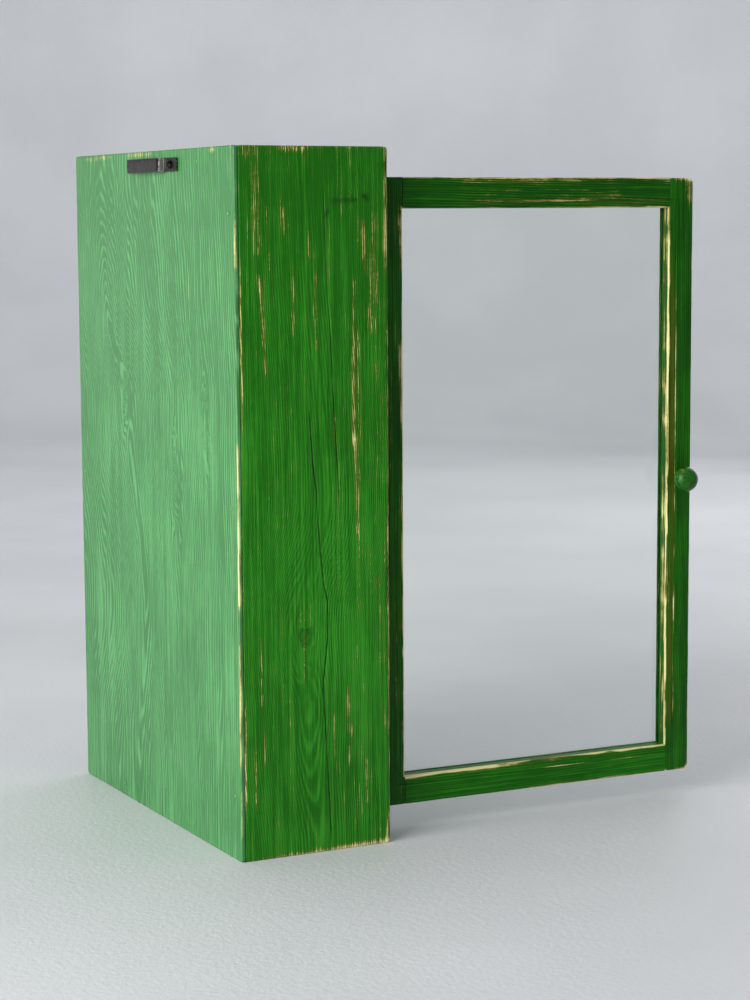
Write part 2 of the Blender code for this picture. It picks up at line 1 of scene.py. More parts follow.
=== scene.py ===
"""Looks of a hanging wall cabinet in worn green paint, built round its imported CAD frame.

Each board is a closed skin over a fine lattice. Its arrises, moulding, housings, cracks and raised
grain are in the mesh. Each vertex also stores where it lies in the board and how worn it is, and the
paint material reads those, so that the figure and the wear follow the wood. Lengths on a board are
in millimetres: s across the grain, t along it, n down from the show face.
"""

import json
import math
from collections import namedtuple

import bmesh
import bpy
import numpy as np
from mathutils import Matrix, Vector

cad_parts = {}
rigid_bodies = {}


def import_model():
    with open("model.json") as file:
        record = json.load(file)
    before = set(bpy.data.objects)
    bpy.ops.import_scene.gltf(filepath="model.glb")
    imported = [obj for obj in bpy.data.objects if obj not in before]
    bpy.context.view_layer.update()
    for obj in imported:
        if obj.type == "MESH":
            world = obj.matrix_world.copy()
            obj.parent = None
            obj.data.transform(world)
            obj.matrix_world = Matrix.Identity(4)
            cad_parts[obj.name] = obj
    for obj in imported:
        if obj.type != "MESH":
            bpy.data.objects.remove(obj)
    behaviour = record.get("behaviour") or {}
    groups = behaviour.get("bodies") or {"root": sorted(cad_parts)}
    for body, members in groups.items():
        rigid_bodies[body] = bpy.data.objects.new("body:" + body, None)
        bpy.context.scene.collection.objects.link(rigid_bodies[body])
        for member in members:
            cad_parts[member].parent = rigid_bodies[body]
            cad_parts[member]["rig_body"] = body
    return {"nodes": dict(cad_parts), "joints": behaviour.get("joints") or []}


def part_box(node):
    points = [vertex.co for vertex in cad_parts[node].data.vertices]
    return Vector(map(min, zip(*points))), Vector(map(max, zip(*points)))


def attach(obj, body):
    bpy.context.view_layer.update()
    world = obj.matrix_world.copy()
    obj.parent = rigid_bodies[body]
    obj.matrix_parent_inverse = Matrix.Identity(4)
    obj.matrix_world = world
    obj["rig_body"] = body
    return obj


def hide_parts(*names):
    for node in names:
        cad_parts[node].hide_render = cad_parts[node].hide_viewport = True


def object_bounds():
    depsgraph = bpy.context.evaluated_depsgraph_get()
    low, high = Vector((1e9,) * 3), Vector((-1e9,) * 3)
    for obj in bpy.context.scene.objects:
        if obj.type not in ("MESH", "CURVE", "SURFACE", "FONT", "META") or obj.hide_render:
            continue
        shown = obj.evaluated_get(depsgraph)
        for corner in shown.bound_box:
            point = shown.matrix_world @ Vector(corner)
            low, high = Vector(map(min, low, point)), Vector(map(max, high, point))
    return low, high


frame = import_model()
cad_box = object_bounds()

MM = 0.001
TURN = 2 * math.pi
HINGE = frame["joints"][0]
OPEN_ANGLE = math.radians(HINGE["range_deg"][0])      # from closed to the rest pose
PIVOT = Vector(HINGE["pos_m"])
DOOR_TURN = Matrix.Translation(PIVOT) @ Matrix.Rotation(OPEN_ANGLE, 4, "Z") @ Matrix.Translation(-PIVOT)
UPRIGHT = Matrix.Identity(4)

RECESS_PLAY = 0.3              # mm between a recess and what lies in it
LEAF_RECESS = 1.3              # mm that a hinge leaf is let in
EDGE_SHARE = 0.06              # mm each way over which a recess drops
ARRIS_LINES = (0, 0.12, 0.35, 0.7, 1.1, 1.6, 2.3, 3.2)
WALL_ROWS = (0.04, 0.12, 0.25, 0.4, 0.6, 0.75, 0.88, 0.96)
LONG_SIDES = ("left", "right")
ALL_SIDES = (*LONG_SIDES, "bottom", "top")


# ---------------------------------------------------------------- seeded noise

class Noise:
    """Smooth random values from -1 to 1 over a plane, the same on each run."""

    SIZE = 128

    def __init__(self, seed):
        self.table = np.random.default_rng(seed).uniform(-1, 1, (self.SIZE, self.SIZE))

    def once(self, x, y):
        x, y = np.broadcast_arrays(np.asarray(x, float), np.asarray(y, float))
        column, row = np.floor(x).astype(int), np.floor(y).astype(int)
        along, up = x - column, y - row
        along, up = along * along * (3 - 2 * along), up * up * (3 - 2 * up)
        left, right = column % self.SIZE, (column + 1) % self.SIZE
        low, high = row % self.SIZE, (row + 1) % self.SIZE
        below = self.table[low, left] * (1 - along) + self.table[low, right] * along
        above = self.table[high, left] * (1 - along) + self.table[high, right] * along
        return below * (1 - up) + above * up

    def __call__(self, x, y=0.5, octaves=1):
        total, share = 0, 1
        for octave in range(octaves):
            total = total + share * self.once(np.asarray(x) * 2 ** octave, np.asarray(y) * 2 ** octave)
            share *= 0.5
        return total


def smooth_step(value, low, high):
    """0 below low and 1 above high, eased between them."""
    share = np.clip((value - low) / (high - low), 0, 1)
    return share * share * (3 - 2 * share)


# ---------------------------------------------------------------- boards

def turn_of(node):
    """How the node's body is turned from the closed door to the rest pose."""
    return DOOR_TURN if frame["nodes"][node]["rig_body"] == "door" else UPRIGHT


def upright_box(node):
    """A node's lowest and highest corners in millimetres, before its body was turned to the rest pose."""
    back = turn_of(node).inverted()
    corners = np.array([back @ vertex.co for vertex in frame["nodes"][node].data.vertices])
    return Vector(corners.min(0) / MM), Vector(corners.max(0) / MM)


def steep(marks):
    """Two lattice lines close round each mark, where the surface drops into a recess."""
    return [mark + shift for mark in marks for shift in (-EDGE_SHARE, EDGE_SHARE)]


def to_rest(points, node):
    """Points in millimetres at the closed door, as metres at the rest pose."""
    turn = np.array(turn_of(node))
    return points * MM @ turn[:3, :3].T + turn[:3, 3]


class Board:
    """A board on its own axes: s across the grain, t along it, n down from its show face."""

    def __init__(self, node, along, out, span=None):
        low, high = upright_box(node)
        self.node, self.along, self.out = node, Vector(along), Vector(out)
        self.across = self.along.cross(self.out)
        across, length, out_reach = (
            sorted((axis.dot(low), axis.dot(high))) for axis in (self.across, self.along, self.out)
        )
        length = span or length
        self.corner = self.across * across[0] + self.along * length[0] + self.out * out_reach[1]
        self.width, self.length = across[1] - across[0], length[1] - length[0]
        self.thickness = out_reach[1] - out_reach[0]

    def to_world(self, s, t, n):
        axes = np.array([self.across, self.along, -self.out])
        return to_rest(np.array(self.corner) + np.stack([s, t, n], 1) @ axes, self.node)

    def sides(self, s, t):
        """Distance from each of the four edges."""
        return {"left": s, "right": self.width - s, "bottom": t, "top": self.length - t}


Knot = namedtuple("Knot", "s t radius stretch rim")
Crack = namedtuple("Crack", "points width depth")


def smooth_rows(rows, t):
    """Values given at a few heights, eased between them."""
    after = np.clip(np.searchsorted(rows[:, 0], t), 1, len(rows) - 1)
    (t_low, low), (t_high, high) = rows[after - 1].T, rows[after].T
    return low + (high - low) * smooth_step(t, t_low, np.maximum(t_high, t_low + 1e-6))


class Figure:
    """Growth rings about a pith that runs along under the board.

    pith and depth are rows of (t, value): where the pith lies across the board, and how deep.
    calm is how far from the pith the rings still follow its bends.
    """

    def __init__(self, pith, depth, spacing, seed, drift=5, knots=(), ripple=0.55, calm=None):
        self.pith, self.depth, self.calm = np.array(pith, float), np.array(depth, float), calm
        self.spacing, self.noise, self.drift = spacing, Noise(seed), drift
        self.knots, self.ripple = knots, ripple

    def rings(self, s, t, n):
        flow, core = s, np.zeros_like(s)
        knotty = np.zeros_like(s)
        for knot in self.knots:
            off_s, off_t = flow - knot.s, (t - knot.t) / knot.stretch
            away = off_s ** 2 + off_t ** 2
            flow = knot.s + off_s * away / (away + knot.radius ** 2)
            inner = np.exp(-(away / (0.45 * knot.radius) ** 2) ** 2)
            core = core + inner * np.sqrt((s - knot.s) ** 2 + ((t - knot.t) / 1.25) ** 2) / 2.3
            knotty = knotty + np.exp(-away / (1.7 * knot.radius) ** 2)
        centre = smooth_rows(self.pith, t) + self.drift * self.noise(t / 170, 3.3, 2)
        if self.calm:
            middle = self.pith[:, 1].mean()
            centre = middle + (centre - middle) / (1 + ((s - middle) / self.calm) ** 2)
        radius = np.hypot(flow - centre, smooth_rows(self.depth, t) + n)
        sway = self.ripple + 1.3 * knotty
        radius = radius + sway * self.spacing * self.noise(s / 23, t / (150 - 90 * np.clip(knotty, 0, 1)), 3)
        return radius / self.spacing + core

    def knot_rims(self, s, t):
        """Dark bark round each knot, and a little of it inside."""
        dark = np.zeros_like(s)
        for knot in self.knots:
            reach = np.sqrt((s - knot.s) ** 2 + ((t - knot.t) / 1.25) ** 2)
            rim = 0.42 * knot.radius * (1 + 0.15 * self.noise(s / 4, t / 4, 2))
            dark += knot.rim * (np.exp(-((reach - rim) / 1.1) ** 2) + 0.35 * (reach < rim))
        return dark

    def relief(self, s, t, n, height):
        """Raised latewood: how far each point stands above the worn softer wood."""
        rings = self.rings(s, t, n)
        ridge = (0.5 + 0.5 * np.cos(TURN * rings)) ** 2
        vary = 0.65 + 0.5 * self.noise(rings * 0.71, t / 260)
        fibre = self.noise(s * 0.9, t / 45, 2)
        return height * (ridge * vary + 0.3 * fibre)


def arris_depth(distance, radius):
    """How far a rounded arris has dropped at a distance from the edge."""
    inside = np.clip(radius - distance, 0, radius)
    return radius - np.sqrt(np.maximum(radius ** 2 - inside ** 2, 0))


def lattice_lines(length, step, extra=()):
    """Positions along one side of the lattice: even steps, closer at both edges and at the extras."""
    near = set(ARRIS_LINES)
    inner = np.arange(ARRIS_LINES[-1] + step, length - ARRIS_LINES[-1] - step / 2, step)
    lines = sorted(near | {length - value for value in near} | set(inner) | set(extra))
    kept = [lines[0]]
    for value in lines[1:]:
        if value - kept[-1] > 0.05:
            kept.append(value)
    kept[-1] = length
    return np.array(kept)


def round_plan(board, s, t, radius):
    """Pull the corners of the lattice in to arcs."""
    over_s = s - np.clip(s, radius, board.width - radius)
    over_t = t - np.clip(t, radius, board.length - radius)
    reach = np.hypot(over_s, over_t)
    longest = np.maximum(abs(over_s), abs(over_t))
    shrink = np.where(reach > 1e-9, longest / np.maximum(reach, 1e-9), 1) - 1
    return s + over_s * shrink, t + over_t * shrink


def perimeter(rows, columns):
    """Indices of the lattice's rim, anticlockwise as the show face is seen."""
    index = np.arange(rows * columns).reshape(rows, columns)
    return np.concatenate([index[:, 0], index[-1, 1:], index[-2::-1, -1], index[0, -2:0:-1]])


def slab_faces(rows, columns, wall_rows):
    """Quads of the front, the rear and the walls."""
    index = np.arange(rows * columns).reshape(rows, columns)
    front = np.stack([index[:-1, :-1], index[1:, :-1], index[1:, 1:], index[:-1, 1:]], -1).reshape(-1, 4)
    rear = front[:, ::-1] + rows * columns
    rim = perimeter(rows, columns)
    loops = [rim]
    for row in range(wall_rows):
        loops.append(2 * rows * columns + row * len(rim) + np.arange(len(rim)))
    loops.append(rim + rows * columns)
    walls = [
        np.stack([upper, lower, np.roll(lower, -1), np.roll(upper, -1)], 1)
        for upper, lower in zip(loops, loops[1:])
    ]
    return np.concatenate([front, rear, *walls])


def add_object(name, data):
    thing = bpy.data.objects.new(name, data)
    bpy.context.scene.collection.objects.link(thing)
    return thing


def new_piece(name, mesh, material, node):
    """A piece that stands for a CAD node and rides on its body."""
    piece = add_object(name, mesh)
    mesh.materials.append(material)
    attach(piece, frame["nodes"][node]["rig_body"])
    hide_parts(node)


def add_fields(mesh, fields):
    """Store one float or vector per vertex for each field."""
    for field, values in fields.items():
        kind, key = ("FLOAT_VECTOR", "vector") if values.ndim > 1 else ("FLOAT", "value")
        mesh.attributes.new(field, kind, "POINT").data.foreach_set(key, values.astype(np.float32).ravel())


def quad_mesh(name, points, quads, fields):
    """A smooth mesh of quads with its fields."""
    mesh = bpy.data.meshes.new(name)
    mesh.vertices.add(len(points))
    mesh.vertices.foreach_set("co", points.astype(np.float32).ravel())
    mesh.loops.add(quads.size)
    mesh.loops.foreach_set("vertex_index", quads.astype(np.int32).ravel())
    mesh.polygons.add(len(quads))
    mesh.polygons.foreach_set("loop_start", np.arange(0, quads.size, 4, dtype=np.int32))
    mesh.update(calc_edges=True)
    add_fields(mesh, fields)
    mesh.shade_smooth()
    mesh.set_sharp_from_angle(angle=math.radians(50))
    return mesh


def crack_home(crack):
    """Where across the board the lattice lines of a crack start out."""
    return np.array(crack.points, float)[:, 0].mean()


def crack_bends(cracks, s_lines, t_lines, width):
    """Where each lattice line runs once the lines that carry a crack follow it."""
    bent = np.repeat(s_lines[:, None], len(t_lines), 1)
    if not cracks:
        return bent
    paths = [np.array(crack.points, float) for crack in cracks]
    homes = [0] + [crack_home(crack) for crack in cracks] + [width]
    routes = [np.interp(t_lines, path[:, 1], path[:, 0]) for path in paths]
    for column in range(len(t_lines)):
        targets = [0] + [route[column] for route in routes] + [width]
        bent[:, column] = np.interp(s_lines, homes, targets)
    return bent


def crack_share(cracks, s_line, t, seed):
    """From 0 to 1, how deep in a crack each lattice point lies, and the depth of that crack."""
    share, depth = np.zeros_like(t), np.zeros_like(t)
    noise = Noise(seed)
    for number, crack in enumerate(cracks):
        path = np.array(crack.points, float)
        first, last = path[0, 1], path[-1, 1]
        ends = smooth_step(t, first - 3, first + 25) * (1 - smooth_step(t, last - 25, last + 3))
        ragged = np.clip(0.75 + 0.6 * noise(t / 23, number + 0.5, 2), 0.15, 1)
        here = np.clip(1 - abs(s_line - crack_home(crack)) / crack.width, 0, 1) * ends * ragged
        share = np.maximum(share, here)
        depth = np.maximum(depth, here * crack.depth)
    return share, depth


def streak_wear(streaks, s, t, fade=7.0):
    """Wear along straight stretches: rows of start s and t, end s and t, width and strength."""
    wear = np.zeros_like(s)
    for s_from, t_from, s_to, t_to, width, strength in streaks:
        run = np.hypot(s_to - s_from, t_to - t_from) ** 2
        share = np.clip(((s - s_from) * (s_to - s_from) + (t - t_from) * (t_to - t_from)) / run, 0, 1)
        off_s, off_t = s - s_from - (s_to - s_from) * share, t - t_from - (t_to - t_from) * share
        lengthwise = abs(t_to - t_from) >= abs(s_to - s_from)
        wide, long = (width, fade) if lengthwise else (fade, width)
        wear += strength * np.exp(-(off_s / wide) ** 2 - (off_t / long) ** 2)
    return wear


def edge_wear(board, s, t, n, amounts, seed):
    """Wear at the arrises: each side has an amount and a reach."""
    noise, wear = Noise(seed), np.zeros_like(s)
    deep = np.minimum(n, board.thickness - n)
    for number, (side, (amount, reach)) in enumerate(sorted(amounts.items())):
        distance = np.hypot(board.sides(s, t)[side], np.maximum(deep, 0))
        place = t if side in LONG_SIDES else s
        uneven = 0.75 + 0.45 * noise(place / 30, number + 0.5, 2)
        wear = np.maximum(wear, amount * uneven * np.exp(-distance / reach))
    return wear


def make_board(name, board, figure, material, steps, arris, corner, relief, seed, edges,
               rough_sides=ALL_SIDES, front=None, rear=None, extra_s=(), extra_t=(), cracks=(), streaks=(),
               stains=(), base_wear=0.0, reshape=None, rub=None, wall_rows=WALL_ROWS):
    """Build one board and its per-vertex fields.

    front and rear give extra depth from the show face and from the far face at (s, t).
    reshape moves finished points on the board's axes, for recesses in its edges. rub gives extra wear
    and thin paint on the show face at (s, t).
    """
    crack_lines = [crack_home(crack) + share * crack.width
                   for crack in cracks for share in (-1, -0.5, 0, 0.5, 1)]
    s_lines = lattice_lines(board.width, steps[0], (*extra_s, *crack_lines))
    t_lines = lattice_lines(board.length, steps[1], extra_t)
    line_s, t = np.meshgrid(s_lines, t_lines, indexing="ij")
    line_s, t = line_s.ravel(), t.ravel()
    s = crack_bends(cracks, s_lines, t_lines, board.width).ravel()
    sides = board.sides(s, t)
    noise = Noise(seed + 50)
    drop_front, drop_rear = np.zeros_like(s), np.zeros_like(s)
    for number, side in enumerate(rough_sides):
        place = t if side in LONG_SIDES else s
        radius = arris * (1 + 0.3 * noise(place / 19, number + 0.5, 3))
        drop_front = np.maximum(drop_front, arris_depth(sides[side], radius))
        drop_rear = np.maximum(drop_rear, arris_depth(sides[side], arris))
    cracked, crack_depth = crack_share(cracks, line_s, t, seed)
    zero = np.zeros_like(s)
    inward = smooth_step(np.min([sides[side] for side in rough_sides], 0), 0.2, 3.0)
    near_face = drop_front + crack_depth - inward * figure.relief(s, t, zero, relief)
    rear_relief = figure.relief(s, t, zero + board.thickness, relief * 0.6)
    far_face = board.thickness - drop_rear + inward * rear_relief
    near_face += front(s, t) if front else 0
    far_face -= rear(s, t) if rear else 0
    rim = perimeter(len(s_lines), len(t_lines))
    walls = [near_face[rim] + (far_face[rim] - near_face[rim]) * share for share in wall_rows]
    s, t = (np.concatenate([values, values, np.tile(values[rim], len(wall_rows))]) for values in (s, t))
    n = np.concatenate([near_face, far_face, *walls])
    cracked = np.concatenate([cracked, zero, *(cracked[rim] * (1 - share) for share in wall_rows)])
    shown = n < board.thickness / 2
    wear = base_wear + streak_wear(streaks, s, t) * shown
    wear = wear + edge_wear(board, s, t, n, edges, seed + 20)
    thin = np.zeros_like(s)
    if rub:
        rubbed, thin = (values * shown for values in rub(s, t))
        wear = wear + rubbed
    # Stains hold real stains and knot bark, and on the door's hinge stile a painted shadow.
    stain = np.clip(streak_wear(stains, s, t, 2.2) + figure.knot_rims(s, t), 0, 1) * shown
    fields = {
        "grain": np.stack([s, t, n + 31.7 * seed], 1),
        "rings": figure.rings(s, t, n),
        "wear": wear,
        "crack": np.clip(cracked, 0, 1),
        "thin": np.clip(thin, 0, 1),
        "stain": stain,
    }
    s, t = round_plan(board, s, t, corner)
    if reshape:
        s, t, n = reshape(s, t, n)
    quads = slab_faces(len(s_lines), len(t_lines), len(wall_rows))
    mesh = quad_mesh(name, board.to_world(s, t, n), quads, fields)
    new_piece(name, mesh, material, board.node)


# ---------------------------------------------------------------- materials

class Nodes:
    """Short calls for building one material's node tree."""

    def __init__(self, name):
        self.material = bpy.data.materials.new(name)
        self.material.use_nodes = True
        self.tree = self.material.node_tree
        self.shader = self.tree.nodes["Principled BSDF"]

    def set(self, socket, value):
        """Give a socket a plain value, or link an output to it."""
        if isinstance(value, bpy.types.NodeSocket):
            self.tree.links.new(value, socket)
        else:
            socket.default_value = (*value, 1.0) if socket.type == "RGBA" else value

    def surface(self, **values):
        for name, value in values.items():
            self.set(self.shader.inputs[name.replace("_", " ")], value)

    def add(self, kind, inputs=(), operation=None):
        """A new node, with its inputs given by place or by name."""
        node = self.tree.nodes.new("ShaderNode" + kind)
        if operation:
            node.operation = operation
        for key, value in inputs.items() if isinstance(inputs, dict) else enumerate(inputs):
            self.set(node.inputs[key], value)
        return node

    def attribute(self, name, output="Fac"):
        node = self.add("Attribute")
        node.attribute_name = name
        return node.outputs[output]

    def object_place(self):
        """Object coordinates in millimetres."""
        return self.stretch(self.add("TexCoord").outputs["Object"], (1 / MM, 1 / MM, 1 / MM))

    def stretch(self, vector, scale):
        return self.add("VectorMath", (vector, scale), "MULTIPLY").outputs["Vector"]

    def noise(self, vector, scale, detail=2.0, roughness=0.5, distortion=0.0):
        """Noise at so many features per millimetre, alike along all axes or one number for each."""
        place = self.stretch(vector, scale if isinstance(scale, tuple) else (scale, scale, scale))
        node = self.add("TexNoise", {"Vector": place, "Scale": 1.0, "Detail": detail, "Roughness": roughness,
                                     "Distortion": distortion})
        return node.outputs["Fac"]

    def math(self, operation, first, second=0.0, third=0.0):
        return self.add("Math", (first, second, third), operation).outputs[0]

    def times(self, first, second):
        return self.math("MULTIPLY", first, second)

    def sum(self, *values):
        total = values[0]
        for value in values[1:]:
            total = self.math("ADD", total, value)
        return total

    def swing(self, value, amount, middle=0.5):
        """A value from 0 to 1 as a change of up to half the amount either way."""
        return self.times(self.math("SUBTRACT", value, middle), amount)

    def swings(self, start, *parts):
        """A start value changed either way by several values from 0 to 1, each with its amount."""
        return self.sum(start, *(self.swing(*part) for part in parts))

    def step(self, value, low, high, to_low=0.0, to_high=1.0):
        node = self.add("MapRange", (value, low, high, to_low, to_high))
        node.interpolation_type = "SMOOTHSTEP"
        return node.outputs[0]

    def mix(self, factor, first, second):
        node = self.add("Mix")
        node.data_type = "RGBA"
        for place, value in ((0, factor), (6, first), (7, second)):
            self.set(node.inputs[place], value)
        return node.outputs[2]

    def along(self, grain, low, high):
        """0 below one height along the board and 1 above another."""
        height = self.add("VectorMath", (grain, (0, 1, 0)), "DOT_PRODUCT").outputs["Value"]
        return self.step(height, low, high)

    def bump(self, height, strength=1.0):
        """A normal from a height in millimetres."""
        return self.add("Bump", {"Strength": strength, "Distance": MM, "Height": height}).outputs["Normal"]

    def ridge(self, rings):
        """1 on each latewood line and 0 between them."""
        wave = self.math("COSINE", self.times(rings, TURN))
        return self.math("POWER", self.math("MULTIPLY_ADD", wave, 0.5, 0.5), 2.0)


BARE_LIGHT = (0.53, 0.52, 0.17)
BARE_BROWN = (0.16, 0.135, 0.028)
BARE_PALE = (0.81, 0.80, 0.38)
# Near-black for cracks and stains, and for the painted shadow along the door's hinge edge.
GRIME_AND_SHADE = (0.004, 0.007, 0.003)
THINNED, WORN_THROUGH = (0.26, 0.47), (0.43, 0.57)      # wear over which paint thins, and over which it goes
TOP_SHADE_HEIGHTS = (300, 640)                               # mm along a board over which the tone darkens towards the top: painted shade


def painted_pine(name, deep, light, thin, roughness=0.40, lines=0.4, contrast=1.0, sheen=0.16, fade=0.0,
                 by_object=False):
    """Green paint over pine: brushed, thin where it is rubbed and gone where it is worn."""
    m = Nodes(name)
    grain = m.object_place() if by_object else m.attribute("grain", "Vector")
    rings, wear = m.attribute("rings"), m.attribute("wear")
    crack, stain = m.attribute("crack"), m.attribute("stain")
    # fibre, strand and streak run with the grain; patch, cloud and speck are nearly as wide as long
    fibre = m.noise(grain, (1.9, 0.021, 1.9), 3, 0.62)
    streak = m.noise(grain, (0.27, 0.0048, 0.27), 2, 0.55)
    patch = m.noise(grain, (0.12, 0.05, 0.12), 3, 0.6)
    cloud = m.noise(grain, (0.018, 0.009, 0.018), 2)
    speck = m.noise(grain, (0.62, 0.30, 0.62), 3, 0.65)
    strand = m.noise(grain, (0.75, 0.010, 0.75), 2, 0.6)
    ridge = m.ridge(rings)
    vary = m.noise(grain, (0.05, 0.004, 0.05), 1)

    worn = m.swings(wear, (fibre, 1.3), (strand, 1.0), (streak, 0.5), (patch, 0.5), (speck, 0.4),
                    (ridge, 0.10))
    bare = m.step(worn, *WORN_THROUGH)
    rubbed = m.math("MAXIMUM", m.step(worn, *THINNED), m.swings(m.attribute("thin"), (streak, 0.5)))

    shade = m.swings(m.swing(cloud, 0.8), (streak, 1.0), (strand, 1.1), (fibre, 1.1), (patch, 0.4))
    shade = m.sum(shade, m.times(m.swing(ridge, lines), m.times(vary, 2.0)))
    tone = m.sum(0.45, m.times(shade, contrast))
    # fade darkens the tone towards the top of the board: painted shade for the light that falls brighter on
    # the lower part.
    if fade:
        tone = m.math("SUBTRACT", tone, m.times(m.along(grain, *TOP_SHADE_HEIGHTS), fade))
    paint = m.mix(m.step(tone, 0.0, 1.0), deep, light)
    paint = m.mix(m.times(m.step(rubbed, 0.0, 1.0), 0.75), paint, thin)
    fresh = m.swings(fibre, (ridge, 0.3), (patch, 0.5), (worn, 0.8, 0.6))
    wood = m.mix(m.step(fresh, 0.36, 0.62), BARE_BROWN, BARE_LIGHT)
    wood = m.mix(m.step(worn, 0.62, 1.0), wood, BARE_PALE)
    colour = m.mix(bare, paint, wood)
    # Cracks and stains darken the colour; the stain on the hinge stile is painted shadow.
    clean_and_unshaded = m.times(m.math("MULTIPLY_ADD", crack, -0.93, 1.0), m.math("MULTIPLY_ADD", stain, -0.85, 1.0))
    colour = m.mix(m.math("SUBTRACT", 1.0, clean_and_unshaded), colour, GRIME_AND_SHADE)

    height = m.sum(m.times(fibre, 0.16), m.times(ridge, 0.04), m.times(bare, -0.08), m.times(speck, 0.04))
    gloss = m.swings(roughness, (streak, 0.18), (speck, 0.12))
    m.surface(Base_Color=colour, Roughness=m.math("MULTIPLY_ADD", bare, 0.3, gloss), Normal=m.bump(height),
              Specular_IOR_Level=sheen)
    return m.material


def bare_pine(name):
    """Unpainted pine, for the dowels inside the joints."""
    m = Nodes(name)
    place = m.object_place()
    fibre = m.noise(place, 0.9, 3, 0.6)
    cloud = m.noise(place, (0.08, 0.3, 0.3), 2)
    colour = m.mix(m.step(m.swings(fibre, (cloud, 0.5)), 0.3, 0.7), BARE_BROWN, BARE_LIGHT)
    m.surface(Base_Color=colour, Roughness=m.step(fibre, 0.2, 0.8, 0.55, 0.8), Normal=m.bump(fibre, 0.4))
    return m.material


def steel(name, dark, light, rubbed_and_highlight, rust, roughness):
    """Old steel: uneven, with fine scratches and a little rust; bright where wear is high, on the strap a
    painted highlight.
    """
    m = Nodes(name)
    place = m.object_place()
    cloud = m.noise(place, 0.13, 4, 0.6)
    pits = m.noise(place, 0.65, 4, 0.7)
    scratch = m.noise(place, (0.25, 2.6, 2.6), 2, 0.5)
    colour = m.mix(m.step(m.swings(cloud, (pits, 1.2), (scratch, 0.4)), 0.35, 0.65), dark, light)
    # Bright steel where the wear field and pits are high; on the strap the wear field is painted highlight.
    rubbed = m.step(m.swings(m.attribute("wear"), (pits, 0.8)), 0.35, 0.9)
    colour = m.mix(rubbed, colour, rubbed_and_highlight)
    rusty = m.step(m.swings(pits, (cloud, 0.6)), 0.60, 0.72)
    colour = m.mix(m.times(rusty, 0.8), colour, rust)
    rough = m.sum(roughness, m.swing(pits, 0.5), m.times(rusty, 0.25))
    height = m.sum(m.times(pits, 0.30), m.times(scratch, 0.03))
    m.surface(Base_Color=colour, Roughness=rough, Normal=m.bump(height),
              Metallic=m.step(rusty, 0.0, 1.0, 1.0, 0.4))
    return m.material


def brown_plastic(name):
    m = Nodes(name)
    place = m.object_place()
    grainy = m.noise(place, 1.8, 3, 0.6)
    cloud = m.noise(place, 0.1, 2)
    tone = m.step(m.swings(cloud, (grainy, 0.3)), 0.3, 0.7)
    colour = m.mix(tone, (0.055, 0.028, 0.014), (0.12, 0.065, 0.035))
    m.surface(Base_Color=colour, Roughness=m.step(grainy, 0.3, 0.7, 0.38, 0.55), Normal=m.bump(grainy, 0.06))
    return m.material


def clear_glass(name):
    """Thin window glass with a faint film of smears."""
    m = Nodes(name)
    place = m.object_place()
    smear = m.noise(place, (0.02, 0.02, 0.007), 4, 0.6, 0.6)
    dust = m.noise(place, 0.9, 2)
    rough = m.sum(m.step(smear, 0.45, 0.75, 0.0, 0.035), m.step(dust, 0.55, 0.8, 0.0, 0.02))
    ripple = m.noise(place, (0.006, 0.006, 0.004), 1)
    m.surface(Base_Color=(0.965, 0.985, 0.97), Roughness=rough, Normal=m.bump(ripple, 0.15))
    m.surface(IOR=1.45, Transmission_Weight=1.0)
    return m.material


GREEN = dict(deep=(0.010, 0.128, 0.0030), light=(0.038, 0.320, 0.018), thin=(0.115, 0.130, 0.012))
# A darker copy of the side's green for the door and its knob: painted shade for the door standing in the
# cabinet's shadow.
DOOR_GREEN_SHADED = dict(deep=(0.004, 0.066, 0.0006), light=(0.017, 0.178, 0.003), thin=(0.105, 0.105, 0.009))
# A lighter copy of the door's green for the bottom rail: painted light, for the light it gets back from the
# floor.
RAIL_GREEN_BOUNCE_LIT = dict(deep=(0.006, 0.096, 0.0010), light=(0.022, 0.240, 0.005), thin=(0.105, 0.115, 0.010))
# A lighter, whiter copy of the green for the back: part of the lift is painted sheen of the bright light
# behind the cabinet.
BACK_GREEN_WITH_SHEEN = dict(deep=(0.034, 0.186, 0.043), light=(0.099, 0.358, 0.115), thin=(0.20, 0.38, 0.15))

# fade on the sides and the back is painted shade, darker towards the top.
SIDE_PAINT = painted_pine("worn_green_pine", **GREEN, lines=0.33, fade=0.22)
DOOR_PAINT = painted_pine("worn_green_door", **DOOR_GREEN_SHADED, roughness=0.36, contrast=1.3)
RAIL_PAINT_BOUNCE_LIT = painted_pine("worn_green_rail_bounce_lit", **RAIL_GREEN_BOUNCE_LIT, roughness=0.36, contrast=1.2)
KNOB_PAINT = painted_pine("glossy_green_knob", **DOOR_GREEN_SHADED, roughness=0.20, lines=0.15, sheen=0.32)
BACK_PAINT = painted_pine("brushed_green_back", **BACK_GREEN_WITH_SHEEN, contrast=1.65, lines=0.55, sheen=0.5, fade=0.34)
# The pin heads on the back take an equally light green, with the same painted sheen.
PIN_PAINT = painted_pine("green_pin_heads", (0.080, 0.31, 0.095), (0.11, 0.37, 0.12), BACK_GREEN_WITH_SHEEN["thin"],
                         by_object=True)
DOWEL_PINE = bare_pine("bare_pine_dowels")
BLACK_STEEL = steel("black_steel_strap", (0.006, 0.005, 0.005), (0.034, 0.030, 0.031), (0.52, 0.50, 0.49),
                    (0.07, 0.04, 0.025), 0.36)
HINGE_STEEL = steel("dull_hinge_steel", (0.16, 0.14, 0.12), (0.42, 0.39, 0.34), (0.6, 0.58, 0.55),
                    (0.20, 0.09, 0.035), 0.38)
PLASTIC = brown_plastic("brown_catch_plastic")
GLASS = clear_glass("clear_window_glass")


# ---------------------------------------------------------------- carcass boards

